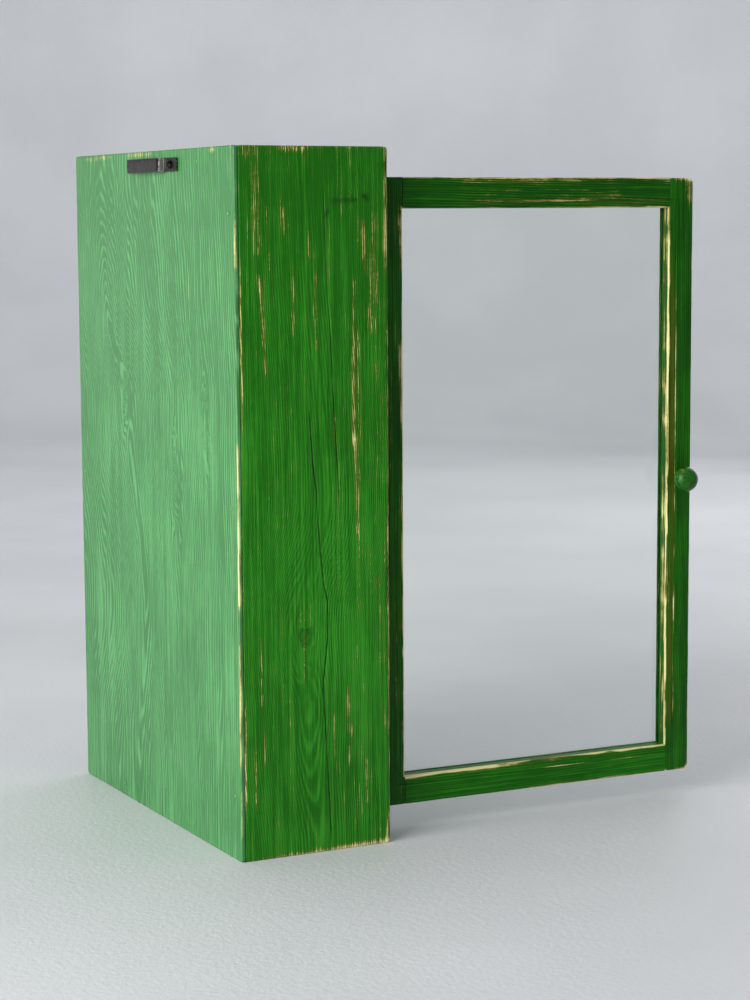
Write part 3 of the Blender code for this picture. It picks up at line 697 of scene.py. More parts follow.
SIDE_FIGURE = Figure(pith=((0, 72), (110, 68), (205, 62), (330, 80), (640, 63)), spacing=2.1, seed=3, drift=3,
                     depth=((0, 17), (150, 8), (300, 5), (650, 6)),
                     knots=(Knot(62, 204, 15, 2.8, 0.5), Knot(91, 268, 6, 2.2, 0), Knot(106, 602, 5, 1.2, 0)))
SIDE_CRACKS = (
    Crack([(87.8, 0), (85.7, 50), (82.2, 113), (80.1, 159), (84.6, 200), (84.9, 235), (81, 254), (77.2, 291),
           (74.4, 336), (70.7, 365), (67.9, 412)], 0.8, 1.5),
    Crack([(99.3, 297), (96.5, 357), (92.2, 430), (90.2, 479), (87.4, 518), (84.7, 584), (84.2, 618)],
          0.5, 0.8),
    Crack([(114.8, 0), (112.3, 60)], 0.5, 0.8),
)
SIDE_STREAKS = (
    (116.5, 300, 113.2, 385, 2.2, 0.40), (113.2, 385, 114.3, 525, 2.4, 0.42),
    (118.5, 330, 118.0, 480, 1.6, 0.26), (122.5, 580, 125.5, 536, 3.0, 0.38),
    (75, 532, 75.8, 476, 2.2, 0.28), (67.8, 568, 69.3, 552, 2.2, 0.30),
    (54, 536, 52, 482, 2.4, 0.28), (43.5, 592, 43.5, 574, 2.0, 0.32),
    (17.3, 625, 19.9, 520, 2.0, 0.25), (19.9, 525, 24, 452, 2.2, 0.40),
    (26.4, 596, 34, 498, 1.8, 0.28), (45.7, 434, 46.1, 392, 1.6, 0.38),
    (92.8, 404, 93.7, 366, 1.6, 0.30), (104.7, 152, 104.5, 115, 2.3, 0.44),
    (16.9, 207, 17.8, 150, 1.7, 0.36), (17.8, 150, 20.3, 95, 1.6, 0.36),
    (90.5, 126, 91.7, 76, 1.7, 0.34), (108.6, 112, 106, 84, 1.7, 0.32),
    (133, 590, 130, 486, 4.5, 0.17), (124.2, 80, 124, 46, 2.2, 0.30),
    (9.2, 100, 11, 48, 1.8, 0.34), (137, 575, 139, 250, 8.0, 0.15),
    (12, 640, 14, 560, 8.0, 0.13), (8, 645, 24, 645, 5.0, 0.30),
    (46, 647, 62, 647, 3.0, 0.42), (146, 648, 147, 560, 2.6, 0.22),
    (138, 250, 141, 120, 5.0, 0.16), (0.6, 140, 0.6, 60, 1.0, 0.46),
    (1.0, 520, 1.4, 430, 1.0, 0.40), (40, 1.5, 149, 1.5, 2.6, 0.30),
    (95, 2, 149, 3, 4.0, 0.24), (144, 3, 148, 26, 3.2, 0.36),
    (115, 58, 112.8, 19, 1.4, 0.34), (147.6, 300, 148.2, 120, 2.0, 0.26),
)
SIDE_STAINS = (
    (92, 600, 116, 602, 2.0, 0.62), (124, 606, 128, 603, 1.9, 1.0),
    (86, 588, 88, 592, 1.6, 0.7), (60, 202, 64, 206, 3.4, 0.28),
    (147, 228, 148, 262, 3.2, 0.6), (147.5, 636, 149, 626, 2.4, 0.95),
)


def within(spans, t):
    """Whether each t lies inside one of the spans."""
    return np.any([(t > low) & (t < high) for low, high in spans], 0)


def shelf_housings(board, shelves):
    """Extra depth from the far face where the shelves are let in."""
    slots = []
    for node in shelves:
        low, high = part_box(node)
        slots.append((low.z / MM - RECESS_PLAY, high.z / MM + RECESS_PLAY))
    front_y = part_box(shelves[0])[0].y / MM - RECESS_PLAY
    rear_y = board.corner.y if board.across.y < 0 else board.corner.y + board.width
    run = rear_y - front_y
    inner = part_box("shelf_lower")[1].x / MM
    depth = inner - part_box("side_panel_right")[0].x / MM + RECESS_PLAY

    def housed(s, t):
        from_rear = s if board.across.y < 0 else board.width - s
        return np.where(within(slots, t) & (from_rear < run), depth, 0)

    edge = run if board.across.y < 0 else board.width - run
    return housed, steep([edge]), steep(mark for slot in slots for mark in slot)


def leaf_spans(hand):
    """The lowest and highest height of the recess for each leaf on one hand."""
    boxes = [upright_box(f"hinge_{level}_{hand}_leaf") for level in ("lower", "upper")]
    return [(low.z - RECESS_PLAY, high.z + RECESS_PLAY) for low, high in boxes]


def make_sides():
    shelves = ("shelf_lower", "shelf_upper")
    left = Board("side_panel_left", (0, 0, 1), (-1, 0, 0))
    left_housed, s_marks, t_marks = shelf_housings(left, shelves)
    leaf_s = left.corner.y - upright_box("hinge_lower_case_leaf")[1].y - RECESS_PLAY
    leaf_t = leaf_spans("case")

    def inner(s, t):
        return np.maximum(left_housed(s, t), LEAF_RECESS * (within(leaf_t, t) & (s > leaf_s)))

    make_board(
        "side_board_left", left, SIDE_FIGURE, SIDE_PAINT, steps=(0.85, 3.4), arris=1.5, corner=3.2,
        relief=0.09, rear=inner,
        extra_s=(*s_marks, *steep([leaf_s])),
        extra_t=(*t_marks, *steep(mark for span in leaf_t for mark in span)),
        cracks=SIDE_CRACKS, streaks=SIDE_STREAKS, stains=SIDE_STAINS, base_wear=0.07, seed=11,
        edges={"right": (0.95, 1.5), "left": (0.34, 1.2), "bottom": (0.52, 1.6), "top": (0.45, 1.6)},
    )
    right = Board("side_panel_right", (0, 0, 1), (1, 0, 0))
    housed, s_marks, t_marks = shelf_housings(right, shelves)
    figure = Figure(pith=((0, 80), (300, 92), (650, 84)), depth=((0, 26), (200, 10), (420, 18), (650, 8)),
                    spacing=2.4, seed=8, knots=(Knot(52, 420, 11, 2.4, 0.6), Knot(118, 130, 7, 2.0, 0.5)))
    streaks = [(s, t, s + lean, t + run, wide, 0.36) for s, t, lean, run, wide in (
        (14, 470, 2, 120, 1.6), (27, 180, -1, 90, 1.4), (48, 90, 1, 60, 1.2), (66, 500, 2, 90, 1.7),
        (96, 330, -2, 110, 1.5), (122, 60, 2, 80, 1.8), (131, 410, -1, 130, 1.5), (140, 250, 0, 70, 1.6))]
    make_board(
        "side_board_right", right, figure, SIDE_PAINT, steps=(1.0, 4.0), arris=1.5, corner=3.0,
        relief=0.09, rear=housed, extra_s=s_marks, extra_t=t_marks,
        cracks=(Crack([(98, 0), (101, 90), (99, 190)], 0.6, 1.2),), streaks=streaks,
        stains=((48, 418, 56, 424, 2.6, 0.3),), base_wear=0.055, seed=23,
        edges={"left": (0.80, 1.6), "right": (0.30, 1.2), "bottom": (0.55, 1.8), "top": (0.45, 1.5)},
    )


def make_cross_boards():
    """Top and bottom boards between the sides, and the two shelves."""
    outer = dict(pith=((0, 66), (403, 74)), depth=((0, 30), (180, 20), (403, 34)), spacing=2.6)
    shelf = dict(pith=((0, 38), (403, 44)), depth=((0, 18), (220, 26), (403, 15)), spacing=2.3)
    outer_look = dict(steps=(1.2, 3.6), arris=1.3, relief=0.11,
                      edges={"left": (0.5, 1.4), "right": (0.6, 1.4)})
    shelf_look = dict(steps=(1.4, 4.2), arris=1.2, relief=0.10, edges={"right": (0.62, 1.5)},
                      wall_rows=(0.08, 0.25, 0.5, 0.75, 0.92))
    for name, node, out, seed, wear, figure, look in (
        ("top_board_painted", "top_board", 1, 31, 0.07, outer, outer_look),
        ("bottom_board_painted", "bottom_board", -1, 37, 0.05, outer, outer_look),
        ("shelf_board_lower", "shelf_lower", 1, 41, 0.05, shelf, shelf_look),
        ("shelf_board_upper", "shelf_upper", 1, 43, 0.05, shelf, shelf_look),
    ):
        board = Board(node, (1, 0, 0), (0, 0, out))
        make_board(name, board, Figure(seed=seed, **figure), SIDE_PAINT, corner=0.4, rough_sides=LONG_SIDES,
                   base_wear=wear, seed=seed, **look)


def make_back():
    board = Board("back_panel", (0, 0, 1), (0, 1, 0))
    figure = Figure(pith=((0, 150), (200, 190), (400, 130), (520, 66), (650, 66)), spacing=4.4, seed=5,
                    drift=9, depth=((0, 34), (250, 16), (470, 18), (650, 64)), ripple=0.9, calm=110,
                    knots=(Knot(256, 345, 9, 4.5, 0), Knot(128, 414, 8, 3.0, 0), Knot(332, 400, 6, 4.0, 0)))
    streaks = (
        (24, 645, 64, 645, 2.8, 0.62), (72, 647, 100, 647, 2.2, 0.52),
        (151, 647, 205, 647, 2.4, 0.58), (352, 647, 357, 647, 2.8, 0.66),
        (299, 568, 297, 515, 1.8, 0.40), (396, 646, 398, 622, 2.2, 0.52),
        (402.6, 378, 402.6, 240, 1.5, 0.62), (402.6, 580, 402.6, 545, 1.3, 0.50),
        (402.6, 200, 402.6, 90, 1.2, 0.42), (402.8, 30, 402.8, 60, 1.2, 0.36),
        (396, 230, 398, 120, 1.4, 0.22), (240, 320, 258, 240, 2.0, 0.10),
    )
    make_board(
        "back_board", board, figure, BACK_PAINT, steps=(1.75, 3.8), arris=1.1, corner=3.0, relief=0.10,
        streaks=streaks, base_wear=-0.10, seed=51,
        edges={"top": (0.38, 1.3), "right": (0.44, 1.2), "left": (0.30, 1.0), "bottom": (0.50, 1.2)},
        wall_rows=(0.2, 0.5, 0.8),
    )


# ---------------------------------------------------------------- door

HINGE_STILE = upright_box("door_stile_hinge")
KNOB_STILE = upright_box("door_stile_knob")
OPEN_X = (HINGE_STILE[1].x, KNOB_STILE[0].x)
OPEN_Z = (upright_box("door_rail_bottom")[1].z, upright_box("door_rail_top")[0].z)
STEP_MARGIN, STEP_DEPTH, CHAMFER = 8.5, 0.8, 1.5
LIP, REBATE = 13.0, 7.0
RAIL_SPAN = (OPEN_X[0] + 0.02, OPEN_X[1] - 0.02)
MOULD_LINES = (0, 0.2, 0.5, 0.9, 1.3, 1.7, 2.3, 3.0, 4.0, 5.0, 6.0, 6.94, 7.06, 7.7, 8.25, 8.5, 8.75, 9.4,
               10.2)


def door_moulding(board):
    """Depth functions for a frame member, from the distance outside the door's opening."""
    def outside(s, t):
        x = board.corner.x + board.across.x * s + board.along.x * t
        z = board.corner.z + board.across.z * s + board.along.z * t
        over_x = np.maximum(OPEN_X[0] - x, x - OPEN_X[1])
        over_z = np.maximum(OPEN_Z[0] - z, z - OPEN_Z[1])
        return np.maximum(over_x, over_z)

    def front(s, t):
        away = outside(s, t)
        sunk = STEP_DEPTH * (1 - smooth_step(away, STEP_MARGIN - 0.3, STEP_MARGIN + 0.05))
        return sunk + arris_depth(np.maximum(away, 0), CHAMFER * 1.35)

    def rear(s, t):
        return np.where(outside(s, t) < REBATE, board.thickness - LIP, 0)

    return front, rear, outside


def opening_marks(board, axis):
    """Lattice lines that carry the moulding's corners, along one of the board's axes."""
    direction = board.across if axis == "s" else board.along
    low, high = (OPEN_X if abs(direction.x) > 0.5 else OPEN_Z)
    start = board.corner.dot(direction)
    reach = board.width if axis == "s" else board.length
    marks = []
    for edge, outward in ((low, -1), (high, 1)):
        for distance in MOULD_LINES:
            place = (edge + outward * distance) * (1 if direction.x + direction.z > 0 else -1) - start
            if 0.1 < place < reach - 0.1:
                marks.append(place)
    return marks


Rub = namedtuple("Rub", "reveal arris reach margin step")


def moulding_rub(outside, rub, seed):
    """Wear that follows the moulding, and thin paint on its sunk margin."""
    noise = Noise(seed)

    def uneven(row, place, length, amount):
        return 1 + amount * noise(place / length, row + 0.5, 3)

    def worn(s, t):
        away, place = outside(s, t), t + s / 3
        reveal = away < 0.01
        ends = smooth_step(t, 25, 70) * (1 - smooth_step(t, 430, 560))
        margin = ends * smooth_step(away, 2.2, 3.2) * (1 - smooth_step(away, 7.8, 8.4))
        spread = rub.reach * uneven(1, place, 33, 0.7)
        wear = (
            rub.reveal * reveal * uneven(0, place, 21, 0.7)
            + rub.arris * np.exp(-(away / spread) ** 2) * ~reveal * uneven(2, place, 40, 0.3)
            + rub.margin * 0.25 * margin * uneven(3, place, 46, 0.6)
            + rub.step * ends * np.exp(-((away - 8.75) / 0.45) ** 2) * uneven(4, place, 29, 0.6)
        )
        return wear, rub.margin * margin * uneven(5, place, 60, 0.4)

    return worn


def door_member(node, ending, heart, seed, rub, paint=DOOR_PAINT, marks=(), **looks):
    """One member of the door's frame, with the moulding that runs round the opening.

    heart is where its pith lies across it and how deep. Stiles run full height and rails lie between.
    """
    if "stile" in node:
        board = Board(node, (0, 0, 1), (0, -1, 0))
    else:
        board = Board(node, (1, 0, 0), (0, -1, 0), RAIL_SPAN)
        looks.update(rough_sides=LONG_SIDES, corner=0.05)
    front, rear, outside = door_moulding(board)
    make_board(
        f"{node}_{ending}", board, member_figure(*heart, seed), paint, steps=(0.8, 3.0), front=front,
        rear=rear, extra_s=opening_marks(board, "s"), extra_t=(*opening_marks(board, "t"), *marks), arris=1.0,
        relief=0.07, seed=seed, rub=moulding_rub(outside, rub, seed + 7), **looks)


def hinge_stile_recess():
    """Recesses for the two door leaves in the stile's outer edge, open at the front."""
    base, front_y = HINGE_STILE[0].z, HINGE_STILE[0].y
    leaf_t = [(low - base, high - base) for low, high in leaf_spans("door")]
    reach = upright_box("hinge_lower_door_leaf")[1].y + RECESS_PLAY - front_y
    spread = 5.0

    def reshape(s, t, n):
        push = LEAF_RECESS * np.clip(1 - s / spread, 0, 1)
        return s + np.where(within(leaf_t, t) & (n < reach), push, 0), t, n

    rows = np.array(steep([reach])) / (HINGE_STILE[1].y - front_y)
    return reshape, steep(mark for span in leaf_t for mark in span), rows


def member_figure(pith, depth, seed):
    return Figure(((0, pith), (650, pith + 5)), ((0, depth), (300, depth + 4), (650, depth)), 2.0, seed,
                  drift=2)


def make_door_frame():
    """On each member the places of wear run from its left edge as its show face is seen."""
    reshape, marks, rows = hinge_stile_recess()
    door_member(
        "door_stile_hinge", "side", (-26, 16), 61, Rub(0.25, 1.00, 2.6, 0.10, 0.14), marks=marks,
        corner=2.0, reshape=reshape, wall_rows=sorted((*WALL_ROWS, *rows)),
        streaks=((20, 566, 21, 540, 4.0, 0.30), (13, 470, 14, 330, 3.0, 0.20),
                 (17, 190, 18, 90, 3.0, 0.22), (26.5, 510, 26.5, 60, 1.0, 0.16)),
        # This stain is painted shadow: a dark band down the stile's hinge edge, where the side panel shades
        # the door.
        stains=((1, 590, 1, 6, 9.0, 0.78),),
        edges={"left": (0.45, 1.2), "right": (0.20, 1.0), "top": (0.45, 1.4), "bottom": (0.40, 1.3)})
    door_member(
        "door_stile_knob", "side", (58, 18), 67, Rub(0.46, 1.10, 1.4, 0.66, 0.70), corner=4.5,
        base_wear=-0.06,
        streaks=((23, 596, 23, 577, 5.5, 0.42), (14, 595, 27, 595, 2.2, 0.45),
                 (26.8, 592, 26.8, 470, 1.2, 0.44), (26.8, 98, 26.8, 45, 1.5, 0.50),
                 (21, 0.8, 27, 1.2, 1.8, 0.60), (26, 1.5, 27, 10, 1.7, 0.55),
                 (18, 540, 17, 470, 1.8, 0.22), (20, 250, 20, 170, 1.6, 0.20)),
        edges={"left": (0.10, 1.0), "right": (0.44, 1.1), "top": (0.7, 1.6), "bottom": (0.55, 1.5)})
    door_member(
        "door_rail_top", "member", (44, 15), 71, Rub(0.10, 0.60, 1.0, 0.22, 0.12), base_wear=-0.02,
        streaks=((3.2, 70, 2.8, 296, 2.0, 0.31), (6.8, 120, 6.2, 290, 1.4, 0.24),
                 (11.5, 50, 12.0, 275, 1.4, 0.24), (15.5, 90, 16, 240, 1.6, 0.27),
                 (22.5, 80, 22, 200, 2.4, 0.32), (20, 170, 21, 285, 2.6, 0.30),
                 (28.2, 200, 28.2, 294, 1.3, 0.32)),
        edges={"left": (1.05, 1.4), "right": (0.30, 1.0)})
    door_member(
        # The bottom rail's lighter paint is painted light from the floor.
        "door_rail_bottom", "member", (-18, 15), 73, Rub(0.05, 0.98, 2.5, 0.10, 0.28), RAIL_PAINT_BOUNCE_LIT,
        base_wear=-0.08,
        streaks=((1.8, 2, 1.8, 96, 2.4, 0.36), (2.2, 210, 1.6, 280, 2.0, 0.30),
                 (5.5, 150, 5.5, 200, 1.6, 0.22), (8.7, 160, 8.7, 294, 0.7, 0.26),
                 (26.8, 140, 26.8, 294, 1.4, 0.40)),
        edges={"left": (0.30, 1.2), "right": (0.58, 1.2)})


def make_beads():
    for hand, along in (("bottom", (1, 0, 0)), ("top", (1, 0, 0)), ("hinge", (0, 0, 1)), ("knob", (0, 0, 1))):
        node = f"glazing_bead_{hand}"
        board = Board(node, along, (0, 1, 0))
        make_board(f"glazing_strip_{hand}", board, member_figure(-20, 12, 80), SIDE_PAINT, steps=(1.1, 4.0),
                   arris=1.3, corner=0.05, relief=0.05, rough_sides=LONG_SIDES, base_wear=0.08,
                   edges={"left": (0.4, 1.2), "right": (0.4, 1.2)}, seed=81 + len(hand),
                   wall_rows=(0.15, 0.35, 0.6, 0.85))


# ---------------------------------------------------------------- turned, bent and cut pieces

def ring_faces(rings, around, first):
    """Quads between closed rings of points that follow each other in a list of points."""
    starts = [first + ring * around for ring in range(rings)]
    return [(low + step, low + (step + 1) % around, high + (step + 1) % around, high + step)
            for low, high in zip(starts, starts[1:]) for step in range(around)]


def revolve(profile, seat, axis, segments):
    """A closed lathe shape: profile is (distance along the axis, radius), first and last on the axis."""
    axis = Vector(axis).normalized()
    side = axis.orthogonal().normalized()
    other = axis.cross(side)
    rings = profile[1:-1]
    angles = np.arange(segments) * TURN / segments
    spokes = np.outer(np.cos(angles), side) + np.outer(np.sin(angles), other)
    centre = np.array(seat)
    points = [centre + np.array(axis) * profile[0][0]]
    for height, radius in rings:
        points.extend(centre + np.array(axis) * height + spokes * radius)
    points.append(centre + np.array(axis) * profile[-1][0])
    points = np.array(points)
    starts = [1 + ring * segments for ring in range(len(rings))]
    faces = []
    for step in range(segments):
        after = (step + 1) % segments
        faces.append((0, 1 + after, 1 + step))
        faces += [(low + step, low + after, high + after, high + step)
                  for low, high in zip(starts, starts[1:])]
        faces.append((starts[-1] + step, starts[-1] + after, len(points) - 1))
    return points, faces


KNOB_HEAD = 12.5       # radius in mm


def knob_outline():
    """Base flange, short neck and ball head, from the stile outwards, in millimetres."""
    low, high = upright_box("door_knob")
    reach, head = high.y - low.y, (high.x - low.x) / 2
    base, neck, neck_end = head * 0.52, head * 0.44, 3.4
    middle = neck_end + (reach - neck_end) * 0.46
    outline = [(0, 0), (0, base * 0.5), (0, base - 0.3), (0.3, base), (1.2, base), (1.7, base - 0.4)]
    for step in range(1, 6):
        share = step / 6
        outline.append((1.7 + (neck_end - 2.2) * share, neck + (base - 0.8 - neck) * (1 - share) ** 2))
    for step in range(17):
        angle = math.pi / 2 * step / 16
        outline.append((middle - (middle - neck_end) * math.cos(angle),
                        neck + (head - neck) * math.sin(angle) ** 0.9))
    for step in range(1, 19):
        angle = math.pi / 2 * step / 19
        outline.append((middle + (reach - middle) * math.sin(angle), head * math.cos(angle)))
    outline.append((reach, 0))
    return outline, low, high


def make_knob():
    outline, low, high = knob_outline()
    seat = Vector(((low.x + high.x) / 2, high.y, (low.z + high.z) / 2))
    points, faces = revolve(outline, seat, (0, -1, 0), 72)
    noise = Noise(91)
    local = points - np.array(seat)
    angle = np.arctan2(local[:, 2], local[:, 0])
    reach = -local[:, 1]
    dents = 0.12 * noise(angle * 2.2 + 9, reach / 5, 3)
    spread = np.hypot(local[:, 0], local[:, 2])
    grow = 1 + dents / np.maximum(spread, 1.5)
    points[:, 0] = seat.x + local[:, 0] * grow
    points[:, 2] = seat.z + local[:, 2] * grow
    mesh = bpy.data.meshes.new("turned_knob")
    mesh.from_pydata(to_rest(points, "door_knob").tolist(), [], faces)
    top = smooth_step(local[:, 2] / KNOB_HEAD, 0.1, 0.9) * smooth_step(reach, 10, 20)
    rim = np.exp(-((spread - KNOB_HEAD + 0.2) / 0.7) ** 2)
    add_fields(mesh, {
        "grain": np.stack([local[:, 0], reach * 0.4 + 300, local[:, 2]], 1),
        "rings": np.hypot(local[:, 0] + 16, local[:, 2] - 4) / 2.2,
        "wear": -0.08 + 0.36 * top + 0.10 * rim * smooth_step(-local[:, 0], -4, 8),
    })
    mesh.shade_smooth()
    mesh.set_sharp_from_angle(angle=math.radians(60))
    new_piece("turned_knob", mesh, KNOB_PAINT, "door_knob")


STRAP_THICKNESS, STRAP_FEET = 2.0, (30.0, 15.0)       # mm; the near foot first
BEND_RADIUS, SOFT_ARRIS = 2.2, 0.55


def rounded_path(corners, radius, steps):
    """Replace each inner corner of an open path by an arc."""
    path = [corners[0]]
    for before, corner, after in zip(corners, corners[1:], corners[2:]):
        arrive, leave = (corner - before).normalized(), (after - corner).normalized()
        turn = arrive.angle(leave)
        start = corner - arrive * radius * math.tan(turn / 2)
        inward = (leave - arrive * arrive.dot(leave)).normalized()
        for step in range(steps + 1):
            angle = turn * step / steps
            path.append(start + arrive * radius * math.sin(angle) + inward * radius * (1 - math.cos(angle)))
    path.append(corners[-1])
    return path


def strap_section(height, thickness, radius):
    """The strap's cross-section: a flat bar with softened arrises, as (up, across) pairs."""
    points = []
    for centre_up, centre_across, first in ((1, 1, 0), (-1, 1, 1), (-1, -1, 2), (1, -1, 3)):
        for step in range(4):
            angle = math.pi / 2 * (first + step / 3)
            points.append((centre_up * (height / 2 - radius) + radius * math.cos(angle),
                           centre_across * (thickness / 2 - radius) + radius * math.sin(angle)))
    return points


def make_strap():
    """The bent hanger: two feet on the panel and a bridge that stands off it."""
    low, high = upright_box("hanger_strap")
    near, far = low.y + STRAP_THICKNESS / 2, high.y - STRAP_THICKNESS / 2
    middle_z = (low.z + high.z) / 2
    bends = low.x + STRAP_FEET[0], high.x - STRAP_FEET[1]
    plan = [(low.x, near), (bends[0], near), (bends[0], far),
            (bends[1], far), (bends[1], near), (high.x, near)]
    path = rounded_path([Vector((x, y, 0)) for x, y in plan], BEND_RADIUS, 9)
    dense = []
    for start, end in zip(path, path[1:]):
        pieces = max(1, round((end - start).length / 2.5))
        dense.extend(start.lerp(end, step / pieces) for step in range(pieces))
    dense.append(path[-1])
    section = strap_section(high.z - low.z, STRAP_THICKNESS, SOFT_ARRIS)
    noise, points, wear = Noise(97), [], []
    ends = len(dense) - 1
    for place, point in enumerate(dense):
        before, after = dense[max(place - 1, 0)], dense[min(place + 1, ends)]
        tangent = (after - before).normalized()
        side = Vector((-tangent.y, tangent.x, 0))
        from_end = min((point - dense[0]).length, (point - dense[-1]).length)
        narrow = 1 - 0.10 * max(0, 1 - from_end / 2.0) ** 2
        for up, across in section:
            hammered = 0.10 * float(noise(place / 6, up / 3 + 9, 2))
            offset = across + math.copysign(hammered, across)
            points.append(point + side * offset + Vector((0, 0, middle_z + up * narrow)))
            # The wear field here is painted highlight: bright steel on the risers by the bends and along both
            # long edges.
            riser_highlight = math.exp(-min(abs(point.x - bend) for bend in bends) / 0.7)
            wear.append(max(0.85 * riser_highlight, 0.5 * smooth_step(abs(up), 5.2, 6.4)))
    count = len(section)
    faces = [tuple(reversed(range(count))), tuple(range(ends * count, ends * count + count))]
    faces += ring_faces(ends + 1, count, 0)
    mesh = bpy.data.meshes.new("bent_strap")
    mesh.from_pydata([tuple(point * MM) for point in points], [], faces)
    add_fields(mesh, {"wear": np.array(wear)})
    tidy_normals(mesh)
    mesh.shade_smooth()
    mesh.set_sharp_from_angle(angle=math.radians(45))
    new_piece("bent_strap", mesh, BLACK_STEEL, "hanger_strap")


def tidy_normals(mesh):
    bm = bmesh.new()
    bm.from_mesh(mesh)
    bmesh.ops.recalc_face_normals(bm, faces=bm.faces)
    bm.to_mesh(mesh)
    bm.free()


def box_mesh(low, high, bevel=0):
    """A box in millimetres, with its edges softened if a bevel is given."""
    bm = bmesh.new()
    bmesh.ops.create_cube(bm, size=1)
    size, centre = Vector(high) - Vector(low), (Vector(high) + Vector(low)) / 2
    for vertex in bm.verts:
        vertex.co = centre + Vector(a * b for a, b in zip(vertex.co, size))
    if bevel:
        bmesh.ops.bevel(bm, geom=bm.edges[:], offset=bevel, segments=2, profile=0.5, affect="EDGES")
    mesh = bpy.data.meshes.new("block")
    bm.to_mesh(mesh)
    bm.free()
    return mesh


def lathe_mesh(profile, seat, axis, segments=40):
    points, faces = revolve(profile, Vector(seat), axis, segments)
    mesh = bpy.data.meshes.new("turned")
    mesh.from_pydata(points.tolist(), [], faces)
    tidy_normals(mesh)
    return mesh


def combined(base, changes):
    """The base mesh with other meshes joined to it or cut from it."""
    piece = add_object("work", base)
    helpers = []
    for operation, mesh in changes:
        helpers.append(add_object("tool", mesh))
        modifier = piece.modifiers.new("change", "BOOLEAN")
        modifier.operation = operation
        modifier.object = helpers[-1]
    bpy.context.view_layer.update()
    result = bpy.data.meshes.new_from_object(piece.evaluated_get(bpy.context.evaluated_depsgraph_get()))
    for thing in (piece, *helpers):
        bpy.data.objects.remove(thing)
    return result


def place_steel(name, mesh, node, angle=35, material=None):
    """Turn a mesh in millimetres at the closed door into a piece at the rest pose."""
    mesh.name = name
    mesh.transform(turn_of(node) @ Matrix.Scale(MM, 4))
    mesh.shade_smooth()
    mesh.set_sharp_from_angle(angle=math.radians(angle))
    new_piece(name, mesh, material or HINGE_STEEL, node)


def screw(name, node, out, domed, slot_angle, material=None):
    """A slotted screw: a domed or countersunk head on a tapered shank."""
    low, high = upright_box(node)
    out = Vector(out)
    axis = max(range(3), key=lambda k: abs(out[k]))
    wide_axis = 0 if axis else 1
    radius = (high[wide_axis] - low[wide_axis]) / 2
    total = high[axis] - low[axis]
    seat = (low + high) / 2
    seat[axis] = high[axis] if out[axis] > 0 else low[axis]
    shank, tip = radius * 0.45, 5.0
    if domed:
        rise = radius * 0.68
        cap = [(-rise * (1 - math.sin(math.pi / 2 * step / 10)), radius * math.cos(math.pi / 2 * step / 10))
               for step in range(10)]
        head = [(-rise - 0.15, shank), (-rise - 0.15, radius - 0.2), *cap]
    else:
        rise = radius - shank
        head = [(-rise, shank), (-0.15, radius - 0.05), (0, radius - 0.2), (0, radius * 0.5)]
    outline = [(-total, 0), (-total + tip / 2, shank * 0.4), (-total + tip, shank), *head, (0, 0)]
    wide, deep = radius * 0.12 + 0.12, rise * (0.55 if domed else 0.45)
    slot_mesh = box_mesh((-radius * 1.2, -wide, -deep), (radius * 1.2, wide, 1.0))
    aim = out.to_track_quat("Z", "Y").to_matrix().to_4x4()
    slot_mesh.transform(Matrix.Translation(seat) @ aim @ Matrix.Rotation(slot_angle, 4, "Z"))
    mesh = combined(lathe_mesh(outline, seat, out), [("DIFFERENCE", slot_mesh)])
    place_steel(name, mesh, node, 32, material)


def make_screws():
    rear, left, right = (0, 1, 0), (-1, 0, 0), (1, 0, 0)
    screw("strap_screw_left", "hanger_screw_left", rear, True, 0.5, BLACK_STEEL)
    screw("strap_screw_right", "hanger_screw_right", rear, True, 2.2, BLACK_STEEL)
    screw("knob_rear_screw", "knob_screw", rear, True, 0.9)
    screw("catch_fixing_lower", "catch_screw_lower", left, True, 1.9)
    screw("catch_fixing_upper", "catch_screw_upper", left, True, 0.3)
    screw("strike_fixing", "strike_screw", rear, False, 1.1)
    for level in ("lower", "upper"):
        for place, angle in (("lower", 0.4), ("upper", 1.7)):
            for hand, out, more in (("case", right, 0), ("door", left, 0.6)):
                screw(f"hinge_{level}_{hand}_fixing_{place}", f"hinge_{level}_{hand}_leaf_screw_{place}", out,
                      False, angle + more)


KNUCKLE, BORE, PIN = 2.7, 1.5, 1.2          # radii in mm
KNUCKLE_GAP = 0.15                          # mm left free at each end of a knuckle
PLATE_START, PLATE_END = 1.0, 2.0           # mm from the pin's axis to a leaf's faces
PLATE_FOOT = 3.3                            # mm from the pin's axis to where the whole plate begins
SINK_PLAY = 0.45                            # mm that a countersink is wider than its screw


